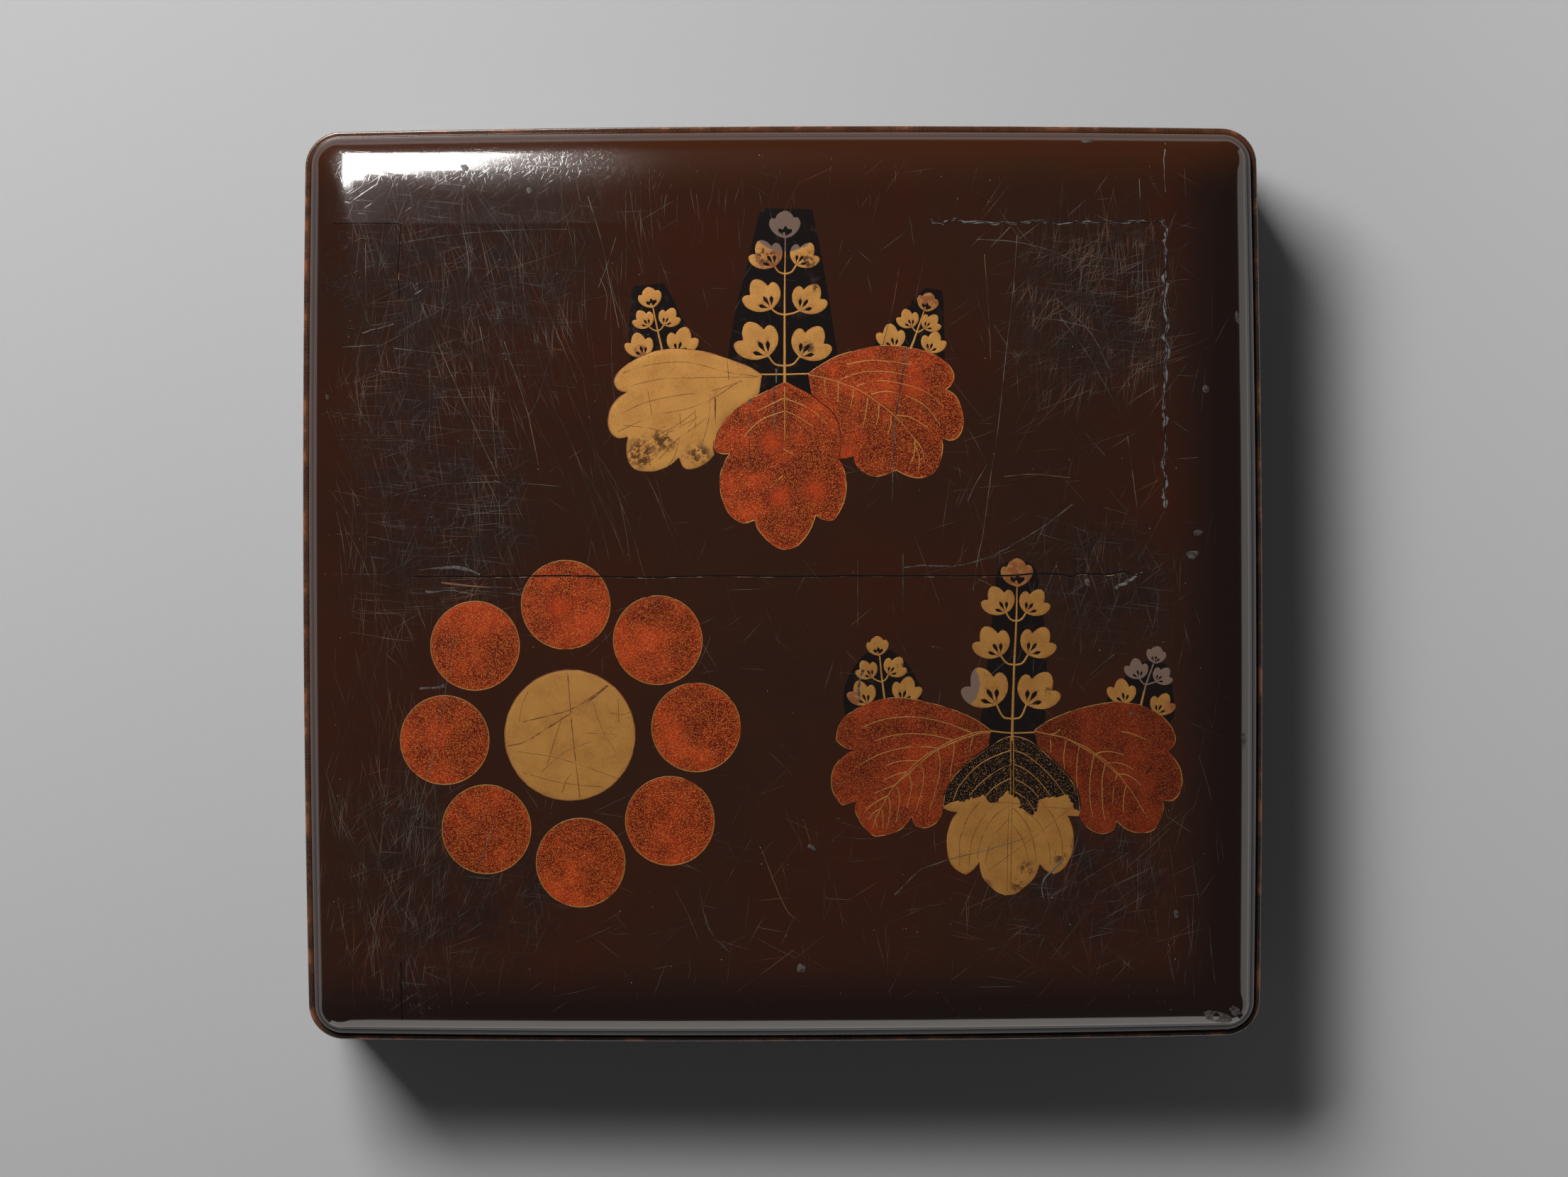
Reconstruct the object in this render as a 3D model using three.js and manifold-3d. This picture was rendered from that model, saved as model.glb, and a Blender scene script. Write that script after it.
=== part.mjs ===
// A shallow lacquer tray for clothes with its full-depth, lift-off domed lid.
// Millimetres, +Z up, origin on the table under the middle of the tray.
// +X runs along the longer side, +Y towards the back.

import * as THREE from 'three';
import { mergeVertices } from 'three/addons/utils/BufferGeometryUtils.js';
import Module from 'manifold-3d';

const wasm = await Module();
wasm.setup();

// Outline of the lid, seen from above
const HALF_LENGTH = 195;
const HALF_WIDTH = 186;
const SIDE_BOW = 1.9;
const OUTSIDE = { inset: 0, radius: 14.4 };

// Domed top: a ledge round the edge, a short riser, a rounded shoulder and a low crown
const LEDGE_HEIGHT = 78;
const LEDGE_WIDTH = 2.5;
const RISER = 1;
const SHOULDER_WIDTH = 27;
const SHOULDER_RISE = 10.8;
const CROWN_RISE = 2.5;
const CORNER_ROUNDING = 0.094;

// Layers of every wall
const COAT = 0.8;
const LINING = 0.6;
const GAP = 0.3;
const JOINT_GAP = GAP / 2;
const LID_WOOD = 5.5;
const TRAY_WOOD = 4.5;

// Lid
const SKIRT_HEIGHT = 12;
const PANEL_UNDERSIDE = 82.2;
const JOINT_X = 154.5;
const JOINT_BACK = 145.7;
const JOINT_FRONT = -148.7;
const BOARD_JOINT = 2.9;
const CORNER_BLOCK = 26;

// Tray
const LID_CLEARANCE = 1.5;
const TRAY_CORNER_BLOCK = 24;
const BOTTOM_WOOD = 6;
const TRAY_BOARD_JOINT = -2;
const BASE_EDGE_LIFT = 0.4;

// Insets from the lid's outside to each face of the layers
const COAT_INNER = COAT;
const LID_WOOD_OUTER = COAT + GAP;
const LID_WOOD_INNER = LID_WOOD_OUTER + LID_WOOD;
const LID_LINING_OUTER = LID_WOOD_INNER + GAP;
const LID_FACE = LID_LINING_OUTER + LINING;
const TRAY_OUTER = LID_FACE + LID_CLEARANCE;
const TRAY_COAT_INNER = TRAY_OUTER + COAT;
const TRAY_WOOD_OUTER = TRAY_COAT_INNER + GAP;
const TRAY_WOOD_INNER = TRAY_WOOD_OUTER + TRAY_WOOD;
const TRAY_LINING_OUTER = TRAY_WOOD_INNER + GAP;
const TRAY_FACE = TRAY_LINING_OUTER + LINING;

// Corner radii belong to a face, and the faces parallel to it follow
const LID_INSIDE = { inset: LID_WOOD_INNER, radius: 12 };
const TRAY_INSIDE = { inset: TRAY_WOOD_INNER, radius: 8 };

// Heights of the layers
const FRAME_UNDERSIDE = LEDGE_HEIGHT - COAT;
const WALL_TOP = FRAME_UNDERSIDE - GAP;
const LID_CEILING = WALL_TOP - LINING;
const LID_WOOD_FOOT = SKIRT_HEIGHT + COAT + GAP;
const RECESS_CEILING = PANEL_UNDERSIDE - GAP - LINING;
const TRAY_RIM = LID_CEILING - GAP;
const TRAY_WOOD_TOP = TRAY_RIM - COAT - GAP;
const BOTTOM_FROM = COAT + GAP;
const BOTTOM_TO = BOTTOM_FROM + BOTTOM_WOOD;
const TRAY_FLOOR_FROM = BOTTOM_TO + GAP;
const TRAY_FLOOR = TRAY_FLOOR_FROM + LINING;

// Steps along a quarter of the outline, and over the dome
const SIDE_STEPS = 3;
const CORNER_STEPS = 5;
const SHOULDER_ANGLES = [0, 10, 22, 36, 52, 70, 90];
const CROWN_STEPS = [0.67, 0.33];

// A cut that goes past everything, the passes that place a corner's centre, and the merging distance
const BEYOND = 400;
const FITTING_PASSES = 12;
const MERGE_WITHIN = 1e-4;

const lacquer = { color: 0x2b1810, roughness: 0.15, metalness: 0 };
const liningLacquer = { color: 0x1a1311, roughness: 0.25, metalness: 0 };
const cypress = { color: 0xc8a777, roughness: 0.7, metalness: 0 };

// One long shallow arc per side
function arcRadius(half) {
  return (half * half + SIDE_BOW * SIDE_BOW) / (2 * SIDE_BOW);
}
const SIDE_ARC = arcRadius(HALF_WIDTH);
const END_ARC = arcRadius(HALF_LENGTH);

// Bowed rectangle with rounded corners: eight arcs that run into each other
function outline(inset, radius) {
  const sideCentre = HALF_LENGTH - SIDE_ARC;
  const endCentre = HALF_WIDTH - END_ARC;
  const sideReach = SIDE_ARC - inset;
  const endReach = END_ARC - inset;
  let cx = HALF_LENGTH - inset - radius;
  let cy = HALF_WIDTH - inset - radius;
  for (let pass = 0; pass < FITTING_PASSES; pass++) {
    cx = sideCentre + Math.sqrt((sideReach - radius) ** 2 - cy * cy);
    cy = endCentre + Math.sqrt((endReach - radius) ** 2 - cx * cx);
  }
  const sideTurn = Math.atan2(cy, cx - sideCentre);
  const endTurn = Math.atan2(cy - endCentre, cx);
  const quarter = [];
  for (let i = 0; i < SIDE_STEPS; i++) {
    const turn = (sideTurn * i) / SIDE_STEPS;
    quarter.push([sideCentre + sideReach * Math.cos(turn), sideReach * Math.sin(turn)]);
  }
  for (let i = 0; i < CORNER_STEPS; i++) {
    const turn = sideTurn + ((endTurn - sideTurn) * i) / CORNER_STEPS;
    quarter.push([cx + radius * Math.cos(turn), cy + radius * Math.sin(turn)]);
  }
  for (let i = 0; i < SIDE_STEPS; i++) {
    const turn = endTurn + ((Math.PI / 2 - endTurn) * i) / SIDE_STEPS;
    quarter.push([endReach * Math.cos(turn), endCentre + endReach * Math.sin(turn)]);
  }
  quarter.push([0, HALF_WIDTH - inset]);
  const half = quarter.concat(quarter.slice(0, -1).reverse().map(([x, y]) => [-x, y]));
  const lower = half.slice(1, -1).reverse().map(([x, y]) => [x, -y]);
  return half.concat(lower);
}

function faceOutline(inset, family) {
  return outline(inset, family.radius - (inset - family.inset));
}

function toSolid(geometry) {
  geometry.deleteAttribute('normal');
  geometry.deleteAttribute('uv');
  const merged = mergeVertices(geometry, MERGE_WITHIN);
  return new wasm.Manifold(new wasm.Mesh({
    numProp: 3,
    vertProperties: new Float32Array(merged.attributes.position.array),
    triVerts: new Uint32Array(merged.index.array),
  }));
}

function toGeometry(solid) {
  const result = solid.getMesh();
  const geometry = new THREE.BufferGeometry();
  geometry.setAttribute('position', new THREE.BufferAttribute(result.vertProperties, 3));
  geometry.setIndex(new THREE.BufferAttribute(result.triVerts, 1));
  geometry.computeVertexNormals();
  return geometry;
}

// Upright prism on an outline
function prism(points, from, to) {
  const shape = new THREE.Shape(points.map(([x, y]) => new THREE.Vector2(x, y)));
  const geometry = new THREE.ExtrudeGeometry(shape, { depth: to - from, bevelEnabled: false });
  geometry.translate(0, 0, from);
  return toSolid(geometry);
}

function block(x0, x1, y0, y1, z0, z1) {
  const geometry = new THREE.BoxGeometry(x1 - x0, y1 - y0, z1 - z0);
  geometry.translate((x0 + x1) / 2, (y0 + y1) / 2, (z0 + z1) / 2);
  return toSolid(geometry);
}

// The low crown, highest in the middle of the lid and gone at the riser
function crown(x, y) {
  const alongX = 1 - (x / (HALF_LENGTH - LEDGE_WIDTH)) ** 2;
  const alongY = 1 - (y / (HALF_WIDTH - LEDGE_WIDTH)) ** 2;
  return CROWN_RISE * alongX * alongY;
}

// Corners of the dome's level lines follow the edge at first and grow rounder inwards
function domeCornerRadius(inset) {
  const run = inset - LEDGE_WIDTH;
  return OUTSIDE.radius - LEDGE_WIDTH - run + CORNER_ROUNDING * run * run;
}

// Everything under the domed surface that lies `depth` below the finished one
function dome(depth, bottom) {
  const spring = LEDGE_HEIGHT + RISER;
  const rings = SHOULDER_ANGLES.map((degrees) => {
    const angle = THREE.MathUtils.degToRad(degrees);
    const inset = LEDGE_WIDTH + SHOULDER_WIDTH - (SHOULDER_WIDTH - depth) * Math.cos(angle);
    const height = spring + (SHOULDER_RISE - depth) * Math.sin(angle);
    return outline(inset, domeCornerRadius(inset)).map(([x, y]) => [x, y, height + crown(x, y)]);
  });
  const edge = rings[0];
  const rim = rings[rings.length - 1];
  const top = spring + SHOULDER_RISE - depth;
  CROWN_STEPS.forEach((scale) => {
    rings.push(rim.map(([x, y]) => [x * scale, y * scale, top + crown(x * scale, y * scale)]));
  });
  rings.unshift(edge.map(([x, y]) => [x, y, bottom]));
  return closedRings(rings, [0, 0, bottom], [0, 0, top + CROWN_RISE]);
}

// Rings of equal length, joined side by side and closed by a fan at both ends
function closedRings(rings, first, last) {
  const count = rings[0].length;
  const position = [...first, ...rings.flat(2), ...last];
  const end = rings.length * count + 1;
  const index = [];
  for (let i = 0; i < count; i++) {
    const next = (i + 1) % count;
    index.push(0, 1 + next, 1 + i);
    for (let r = 0; r < rings.length - 1; r++) {
      const low = 1 + r * count;
      const high = low + count;
      index.push(low + i, low + next, high + next);
      index.push(low + i, high + next, high + i);
    }
    const lastRing = 1 + (rings.length - 1) * count;
    index.push(lastRing + i, lastRing + next, end);
  }
  const geometry = new THREE.BufferGeometry();
  geometry.setAttribute('position', new THREE.Float32BufferAttribute(position, 3));
  geometry.setIndex(index);
  return toSolid(geometry);
}

function part(name, solid, look) {
  const mesh = new THREE.Mesh(toGeometry(solid), new THREE.MeshStandardMaterial(look));
  mesh.name = name;
  return mesh;
}

// Recess that the frame leaves under the thinner panel, `margin` clear of the frame
function recess(margin, from, to) {
  const side = JOINT_X - margin;
  return block(-side, side, JOINT_FRONT + margin, JOINT_BACK - margin, from, to);
}

function lidLacquerSkin() {
  const walls = prism(faceOutline(0, OUTSIDE), SKIRT_HEIGHT, LEDGE_HEIGHT);
  const outside = walls.add(dome(0, LEDGE_HEIGHT - COAT));
  const wallSpace = prism(faceOutline(COAT_INNER, OUTSIDE), SKIRT_HEIGHT + COAT, FRAME_UNDERSIDE);
  const inside = wallSpace.add(dome(COAT, WALL_TOP));
  const mouth = prism(faceOutline(LID_FACE, LID_INSIDE), SKIRT_HEIGHT - 1, WALL_TOP);
  return outside.subtract(inside).subtract(mouth);
}

function lidLiningSkin() {
  const outside = prism(faceOutline(LID_LINING_OUTER, LID_INSIDE), LID_WOOD_FOOT, WALL_TOP)
    .add(recess(JOINT_GAP, LID_CEILING, PANEL_UNDERSIDE - GAP));
  const inside = prism(faceOutline(LID_FACE, LID_INSIDE), LID_WOOD_FOOT - 1, LID_CEILING)
    .add(recess(JOINT_GAP + LINING, LID_CEILING - 1, RECESS_CEILING));
  return outside.subtract(inside);
}

// The top frame is laid like a pinwheel: each member covers the end of the one before it
function lidTopPieces() {
  const plate = dome(COAT + GAP, FRAME_UNDERSIDE);
  const cut = (x0, x1, y0, y1, from = 0) => plate.intersect(block(x0, x1, y0, y1, from, BEYOND));
  const inner = JOINT_X - JOINT_GAP;
  const outer = JOINT_X + JOINT_GAP;
  const panel = (y0, y1) => cut(-inner, inner, y0, y1, PANEL_UNDERSIDE);
  return {
    lid_rail_back: cut(-BEYOND, inner, JOINT_BACK + JOINT_GAP, BEYOND),
    lid_stile_right: cut(outer, BEYOND, JOINT_FRONT + JOINT_GAP, BEYOND),
    lid_rail_front: cut(-inner, BEYOND, -BEYOND, JOINT_FRONT - JOINT_GAP),
    lid_stile_left: cut(-BEYOND, -outer, -BEYOND, JOINT_BACK - JOINT_GAP),
    lid_panel_back: panel(BOARD_JOINT + JOINT_GAP, JOINT_BACK - JOINT_GAP),
    lid_panel_front: panel(JOINT_FRONT + JOINT_GAP, BOARD_JOINT - JOINT_GAP),
  };
}

// Four bowed boards with a corner block between each two
function wallPieces(prefix, ring, size) {
  const x = HALF_LENGTH - size;
  const y = HALF_WIDTH - size;
  const cut = (x0, x1, y0, y1) => ring.intersect(block(x0, x1, y0, y1, 0, BEYOND));
  return {
    [`${prefix}_wall_left`]: cut(-BEYOND, -x, -y + JOINT_GAP, y - JOINT_GAP),
    [`${prefix}_wall_right`]: cut(x, BEYOND, -y + JOINT_GAP, y - JOINT_GAP),
    [`${prefix}_wall_back`]: cut(-x + JOINT_GAP, x - JOINT_GAP, y, BEYOND),
    [`${prefix}_wall_front`]: cut(-x + JOINT_GAP, x - JOINT_GAP, -BEYOND, -y),
    [`${prefix}_corner_back_left`]: cut(-BEYOND, -x - JOINT_GAP, y + JOINT_GAP, BEYOND),
    [`${prefix}_corner_back_right`]: cut(x + JOINT_GAP, BEYOND, y + JOINT_GAP, BEYOND),
    [`${prefix}_corner_front_left`]: cut(-BEYOND, -x - JOINT_GAP, -BEYOND, -y - JOINT_GAP),
    [`${prefix}_corner_front_right`]: cut(x + JOINT_GAP, BEYOND, -BEYOND, -y - JOINT_GAP),
  };
}

function lidWalls() {
  const ring = prism(faceOutline(LID_WOOD_OUTER, OUTSIDE), LID_WOOD_FOOT, WALL_TOP)
    .subtract(prism(faceOutline(LID_WOOD_INNER, LID_INSIDE), 0, BEYOND));
  return wallPieces('lid', ring, CORNER_BLOCK);
}

function trayWalls() {
  const ring = prism(faceOutline(TRAY_WOOD_OUTER, LID_INSIDE), TRAY_FLOOR_FROM, TRAY_WOOD_TOP)
    .subtract(prism(faceOutline(TRAY_WOOD_INNER, TRAY_INSIDE), 0, BEYOND));
  return wallPieces('tray', ring, TRAY_WOOD_OUTER + TRAY_CORNER_BLOCK);
}

function trayBottomBoards() {
  const plate = prism(faceOutline(TRAY_WOOD_OUTER, LID_INSIDE), BOTTOM_FROM, BOTTOM_TO);
  const cut = (y0, y1) => plate.intersect(block(-BEYOND, BEYOND, y0, y1, 0, BEYOND));
  return {
    tray_board_back: cut(TRAY_BOARD_JOINT + JOINT_GAP, BEYOND),
    tray_board_front: cut(-BEYOND, TRAY_BOARD_JOINT - JOINT_GAP),
  };
}

// The coat's lower edge is rounded off, so it stays just above the table
function trayLacquerSkin() {
  const outside = prism(faceOutline(TRAY_OUTER, LID_INSIDE), BASE_EDGE_LIFT, TRAY_RIM);
  const inside = prism(faceOutline(TRAY_COAT_INNER, LID_INSIDE), -1, TRAY_RIM - COAT);
  const mouth = prism(faceOutline(TRAY_FACE, TRAY_INSIDE), TRAY_FLOOR, TRAY_RIM + 1);
  return outside.subtract(inside).subtract(mouth);
}

function trayBaseSkin() {
  return prism(faceOutline(TRAY_WOOD_OUTER, LID_INSIDE), 0, COAT);
}

function trayLiningSkin() {
  const outside = prism(faceOutline(TRAY_LINING_OUTER, TRAY_INSIDE), TRAY_FLOOR_FROM, TRAY_WOOD_TOP);
  const inside = prism(faceOutline(TRAY_FACE, TRAY_INSIDE), TRAY_FLOOR, TRAY_RIM);
  return outside.subtract(inside);
}

function addAll(group, pieces, look) {
  Object.entries(pieces).forEach(([name, solid]) => group.add(part(name, solid, look)));
}

const tray = new THREE.Group();
tray.add(part('tray_base_skin', trayBaseSkin(), lacquer));
addAll(tray, trayBottomBoards(), cypress);
addAll(tray, trayWalls(), cypress);
tray.add(part('tray_lacquer_skin', trayLacquerSkin(), lacquer));
tray.add(part('tray_lining_skin', trayLiningSkin(), liningLacquer));

const lid = new THREE.Group();
addAll(lid, lidWalls(), cypress);
addAll(lid, lidTopPieces(), cypress);
lid.add(part('lid_lacquer_skin', lidLacquerSkin(), lacquer));
lid.add(part('lid_lining_skin', lidLiningSkin(), liningLacquer));

const clothingTray = new THREE.Group();
clothingTray.add(tray);
clothingTray.add(lid);

export default clothingTray;
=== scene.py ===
import math
import random

import bmesh
import bpy
from mathutils import Matrix, Vector
from mathutils.geometry import delaunay_2d_cdt


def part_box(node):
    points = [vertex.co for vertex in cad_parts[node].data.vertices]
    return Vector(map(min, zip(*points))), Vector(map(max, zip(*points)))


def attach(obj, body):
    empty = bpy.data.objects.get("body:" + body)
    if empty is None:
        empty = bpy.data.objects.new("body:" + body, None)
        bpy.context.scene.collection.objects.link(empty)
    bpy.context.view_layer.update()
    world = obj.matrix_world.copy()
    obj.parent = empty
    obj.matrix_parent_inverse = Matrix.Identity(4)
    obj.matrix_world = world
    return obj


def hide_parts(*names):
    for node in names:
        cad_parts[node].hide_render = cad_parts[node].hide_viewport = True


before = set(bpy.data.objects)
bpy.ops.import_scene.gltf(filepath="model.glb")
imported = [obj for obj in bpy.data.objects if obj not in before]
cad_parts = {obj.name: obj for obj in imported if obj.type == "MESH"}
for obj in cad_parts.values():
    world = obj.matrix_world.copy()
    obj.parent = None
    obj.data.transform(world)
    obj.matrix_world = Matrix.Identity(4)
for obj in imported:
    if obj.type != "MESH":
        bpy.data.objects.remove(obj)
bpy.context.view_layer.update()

# The table and the light. A pale grey table carries the box. One large soft lamp hangs over its back left
# corner. The dark lacquer mirrors the lamp's slanting cloth and two pale cards that stand low.

TABLE_SIZE = 9.0
TABLE_GREY = (0.376, 0.379, 0.394, 1)
# A lighter grey for the table's right side, painted light that makes up for the lamp's light falling off
# there
TABLE_GREY_PAINTED_LIGHT_RIGHT = (0.462, 0.466, 0.482, 1)
TABLE_PAINTED_LIGHT_CHANGES = (0.16, 0.40)
LAMP_PLACE = (-0.65, 0.905, 1.42)
LAMP_SIZE = (0.76, 0.64)
LAMP_RADIANCE = 29.0
LAMP_COLOUR = (1, 0.985, 0.96)
CLOTH_RADIANCE = 25.5
# The lamp's cloth as mirrored strips: the middle's x and y, width and depth in metres
LAMP_CLOTH = ((-0.64, 0.99, 0.12, 1.02), (-0.525, 1.165, 0.11, 1.27), (-0.42, 1.285, 0.10, 1.33),
              (-0.335, 1.35, 0.07, 1.10), (-0.275, 1.31, 0.05, 0.78))
CARD_SIZE = (2.6, 0.62)
CARD_HEIGHT = 0.66
CARD_DISTANCE = 1.55
RIGHT_CARD_RADIANCE = 0.85
FRONT_CARD_RADIANCE = 1.45
CARD_COLOUR = (1.0, 0.93, 0.86)
SKY_OVERHEAD = (0.044, 0.044, 0.045, 1)
SKY_HORIZON = (0.78, 0.77, 0.77, 1)
HORIZON_BAND = (0.20, 0.27)

# The photograph looks straight down on the lid from 1.85 m, turned a quarter of a degree
PICTURE_SIZE = (2212, 1660)
LENS = 100.0
SENSOR = 36.0
CAMERA_PLACE = (0.52, -1.93, 1849.0)
CAMERA_TURN = math.radians(-0.24)
MILLIMETRE = 0.001


def metres(*millimetres):
    return tuple(value * MILLIMETRE for value in millimetres)


def add_node(tree, kind, sockets=None, **settings):
    """A node of this kind, whose inputs get a value or the output they hang on, by name or number."""
    node = tree.nodes.new(kind)
    for name, value in settings.items():
        setattr(node, name, value)
    for key, value in (sockets or {}).items():
        if isinstance(value, bpy.types.NodeSocket):
            tree.links.new(value, node.inputs[key])
        else:
            node.inputs[key].default_value = value
    return node


def result(tree, kind, sockets=None, **settings):
    """The first output of such a node."""
    return add_node(tree, kind, sockets, **settings).outputs[0]


def parts(tree, vector):
    """X, Y and Z of a vector."""
    return add_node(tree, "ShaderNodeSeparateXYZ", {0: vector}).outputs


def put_in_scene(name, data):
    holder = bpy.data.objects.new(name, data)
    bpy.context.scene.collection.objects.link(holder)
    return holder


def paint(piece, finish):
    piece.data.materials.clear()
    piece.data.materials.append(finish)


def new_finish(name):
    finish = bpy.data.materials.new(name)
    finish.use_nodes = True
    finish.node_tree.nodes.clear()
    return finish, finish.node_tree


def surface(tree, **sockets):
    """Ends a finish in one shader. Underscores in the names stand for spaces."""
    named = {key.replace("_", " "): value for key, value in sockets.items()}
    add_node(tree, "ShaderNodeOutputMaterial", {"Surface": result(tree, "ShaderNodeBsdfPrincipled", named)})


def blend_colours(tree, amount, first, second):
    mixer = add_node(tree, "ShaderNodeMix", {"Factor": amount, 6: first, 7: second}, data_type="RGBA")
    return mixer.outputs[2]


def rises(tree, value, start, end):
    """0 up to `start`, 1 from `end` on, and smooth between. With `end` below `start` it falls instead."""
    low, high = (start, end) if start < end else (end, start)
    to = {"To Min": 0.0, "To Max": 1.0} if start < end else {"To Min": 1.0, "To Max": 0.0}
    return result(tree, "ShaderNodeMapRange", {"Value": value, "From Min": low, "From Max": high, **to},
                  interpolation_type="SMOOTHSTEP")


def place_in_piece(tree):
    return add_node(tree, "ShaderNodeTexCoord").outputs["Object"]


def clouds(tree, place, size, detail=3.0, roughness=0.55):
    """Soft noise from 0 to 1 whose patches are about `size` millimetres wide."""
    node = add_node(tree, "ShaderNodeTexNoise", {"Vector": place, "Scale": 1000 / size, "Detail": detail,
                                                 "Roughness": roughness})
    return node.outputs["Fac"]


table_finish, tree = new_finish("table_paper")
fibres = clouds(tree, place_in_piece(tree), 4, detail=4)
paper = blend_colours(tree, fibres, TABLE_GREY, tuple(0.97 * part for part in TABLE_GREY[:3]) + (1,))
# The paper is painted lighter towards the right: painted light against the lamp's falloff
painted_light_to_the_right = rises(tree, parts(tree, place_in_piece(tree))[0], *TABLE_PAINTED_LIGHT_CHANGES)
paper = blend_colours(tree, painted_light_to_the_right, paper, TABLE_GREY_PAINTED_LIGHT_RIGHT)
surface(tree, Base_Color=paper, Roughness=0.9, Specular_IOR_Level=0.2)
bpy.ops.mesh.primitive_plane_add(size=TABLE_SIZE)
table = bpy.context.object
table.name = "table"
paint(table, table_finish)


def rectangle_light(name, size, radiance, colour, place, aim):
    lamp = bpy.data.lights.new(name, "AREA")
    lamp.shape = "RECTANGLE"
    lamp.size, lamp.size_y = size
    lamp.energy = radiance * math.pi * size[0] * size[1]
    lamp.color = colour
    holder = put_in_scene(name, lamp)
    holder.location = place
    holder.rotation_euler = (Vector(aim) - Vector(place)).to_track_quat("-Z", "Y").to_euler()
    return holder


soft_lamp = rectangle_light("soft_lamp", LAMP_SIZE, LAMP_RADIANCE, LAMP_COLOUR, LAMP_PLACE, (0, 0, 0))
soft_lamp.visible_glossy = False
for x, y, width, depth in LAMP_CLOTH:
    cloth = rectangle_light("lamp_cloth", (width, depth), CLOTH_RADIANCE, LAMP_COLOUR, (x, y, LAMP_PLACE[2]),
                            (x, y, 0))
    cloth.visible_diffuse = False
card_places = (("right_card", RIGHT_CARD_RADIANCE, (CARD_DISTANCE, 0, CARD_HEIGHT)),
               ("front_card", FRONT_CARD_RADIANCE, (0, -CARD_DISTANCE, CARD_HEIGHT)))
for name, radiance, place in card_places:
    card = rectangle_light(name, CARD_SIZE, radiance, CARD_COLOUR, place, (0, 0, CARD_HEIGHT))
    card.visible_diffuse = False

world = bpy.data.worlds.new("studio")
world.use_nodes = True
world.node_tree.nodes.clear()
tree = world.node_tree
direction = parts(tree, add_node(tree, "ShaderNodeTexCoord").outputs["Generated"])
above = rises(tree, direction[2], *HORIZON_BAND)
sky = blend_colours(tree, above, SKY_HORIZON, SKY_OVERHEAD)
add_node(tree, "ShaderNodeOutputWorld", {"Surface": result(tree, "ShaderNodeBackground", {"Color": sky})})
bpy.context.scene.world = world
bpy.context.scene.view_settings.view_transform = "Standard"

camera_data = bpy.data.cameras.new("camera")
camera_data.lens = LENS
camera_data.sensor_width = SENSOR
camera = put_in_scene("camera", camera_data)
camera.location = metres(*CAMERA_PLACE)
camera.rotation_euler = (0, 0, CAMERA_TURN)
bpy.context.scene.camera = camera

# Woodwork of the tray. Planed cypress: two bottom boards, four bowed sides and a block in each corner.
# The boards' grain runs along them, the corner blocks stand upright, and lacquer covers all of it.

SPRING_WOOD = (0.60, 0.41, 0.21, 1)
SUMMER_WOOD = (0.42, 0.25, 0.11, 1)
GRAIN_STRETCH = {"along_x": (0.06, 1, 1), "along_y": (1, 0.06, 1), "upright": (1, 1, 0.06)}


def blend_amounts(tree, amount, first, second):
    return result(tree, "ShaderNodeMix", {0: amount, 2: first, 3: second})


def turned(tree, place, scale, turn=0.0):
    """The pattern's place turned by `turn` degrees, then scaled."""
    spun = result(tree, "ShaderNodeMapping", {"Vector": place, "Rotation": (0, 0, math.radians(turn))})
    return result(tree, "ShaderNodeMapping", {"Vector": spun, "Scale": scale})


def bumped(tree, height, distance, strength, under=None):
    """The surface's direction once a relief lies on it, itself on top of the relief `under` it."""
    sockets = {"Height": height, "Distance": distance, "Strength": strength}
    if under:
        sockets["Normal"] = under
    return result(tree, "ShaderNodeBump", sockets)


def cypress(grain):
    finish, tree = new_finish("cypress_" + grain)
    place = turned(tree, place_in_piece(tree), GRAIN_STRETCH[grain])
    rings = add_node(tree, "ShaderNodeTexWave", {"Vector": place, "Scale": 60.0, "Distortion": 6.0,
                                                 "Detail": 3.0, "Detail Scale": 1.5}, wave_type="RINGS")
    tone = blend_amounts(tree, 0.4, rings.outputs["Fac"], clouds(tree, place, 0.8, detail=4))
    surface(tree, Base_Color=blend_colours(tree, tone, SUMMER_WOOD, SPRING_WOOD), Roughness=0.65,
            Normal=bumped(tree, tone, 0.0002, 0.5))
    return finish


cypress_finish = {grain: cypress(grain) for grain in GRAIN_STRETCH}


def show_wood(names, grain):
    for name in names:
        paint(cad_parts[name], cypress_finish[grain])


CORNERS = ("back_left", "back_right", "front_left", "front_right")
show_wood(["tray_board_back", "tray_board_front", "tray_wall_back", "tray_wall_front"], "along_x")
show_wood(["tray_wall_left", "tray_wall_right"], "along_y")
show_wood(["tray_corner_" + corner for corner in CORNERS], "upright")

# Outer coat of the tray. Hemp cloth and ground lacquer under brown-black lacquer cover the sides, the rim
# and the underside. Every face of the box follows the same outline, moved inwards by its inset.

lid_low, lid_high = [[side / MILLIMETRE for side in corner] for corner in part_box("lid_lacquer_skin")]
HALF_LENGTH = lid_high[0]
HALF_WIDTH = lid_high[1]
SIDE_BOW = 1.9
CORNER_PASSES = 12
SIDE_STEPS = 22
CORNER_STEPS = 14

COAT = 0.8
LINING = 0.6
GAP = 0.3
LID_WOOD = 5.5
TRAY_WOOD = 4.5
LID_CLEARANCE = 1.5
LID_INNER_WOOD = COAT + GAP + LID_WOOD
LID_FACE = LID_INNER_WOOD + GAP + LINING
TRAY_OUTER = LID_FACE + LID_CLEARANCE
TRAY_INNER_WOOD = TRAY_OUTER + COAT + GAP + TRAY_WOOD
TRAY_FACE = TRAY_INNER_WOOD + GAP + LINING

# Corner radii are set on three faces, each as (inset, radius), and the faces parallel to one follow it
LID_OUTSIDE = (0, 14.4)
LID_INSIDE = (LID_INNER_WOOD, 12)
TRAY_INSIDE = (TRAY_INNER_WOOD, 8)

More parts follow.
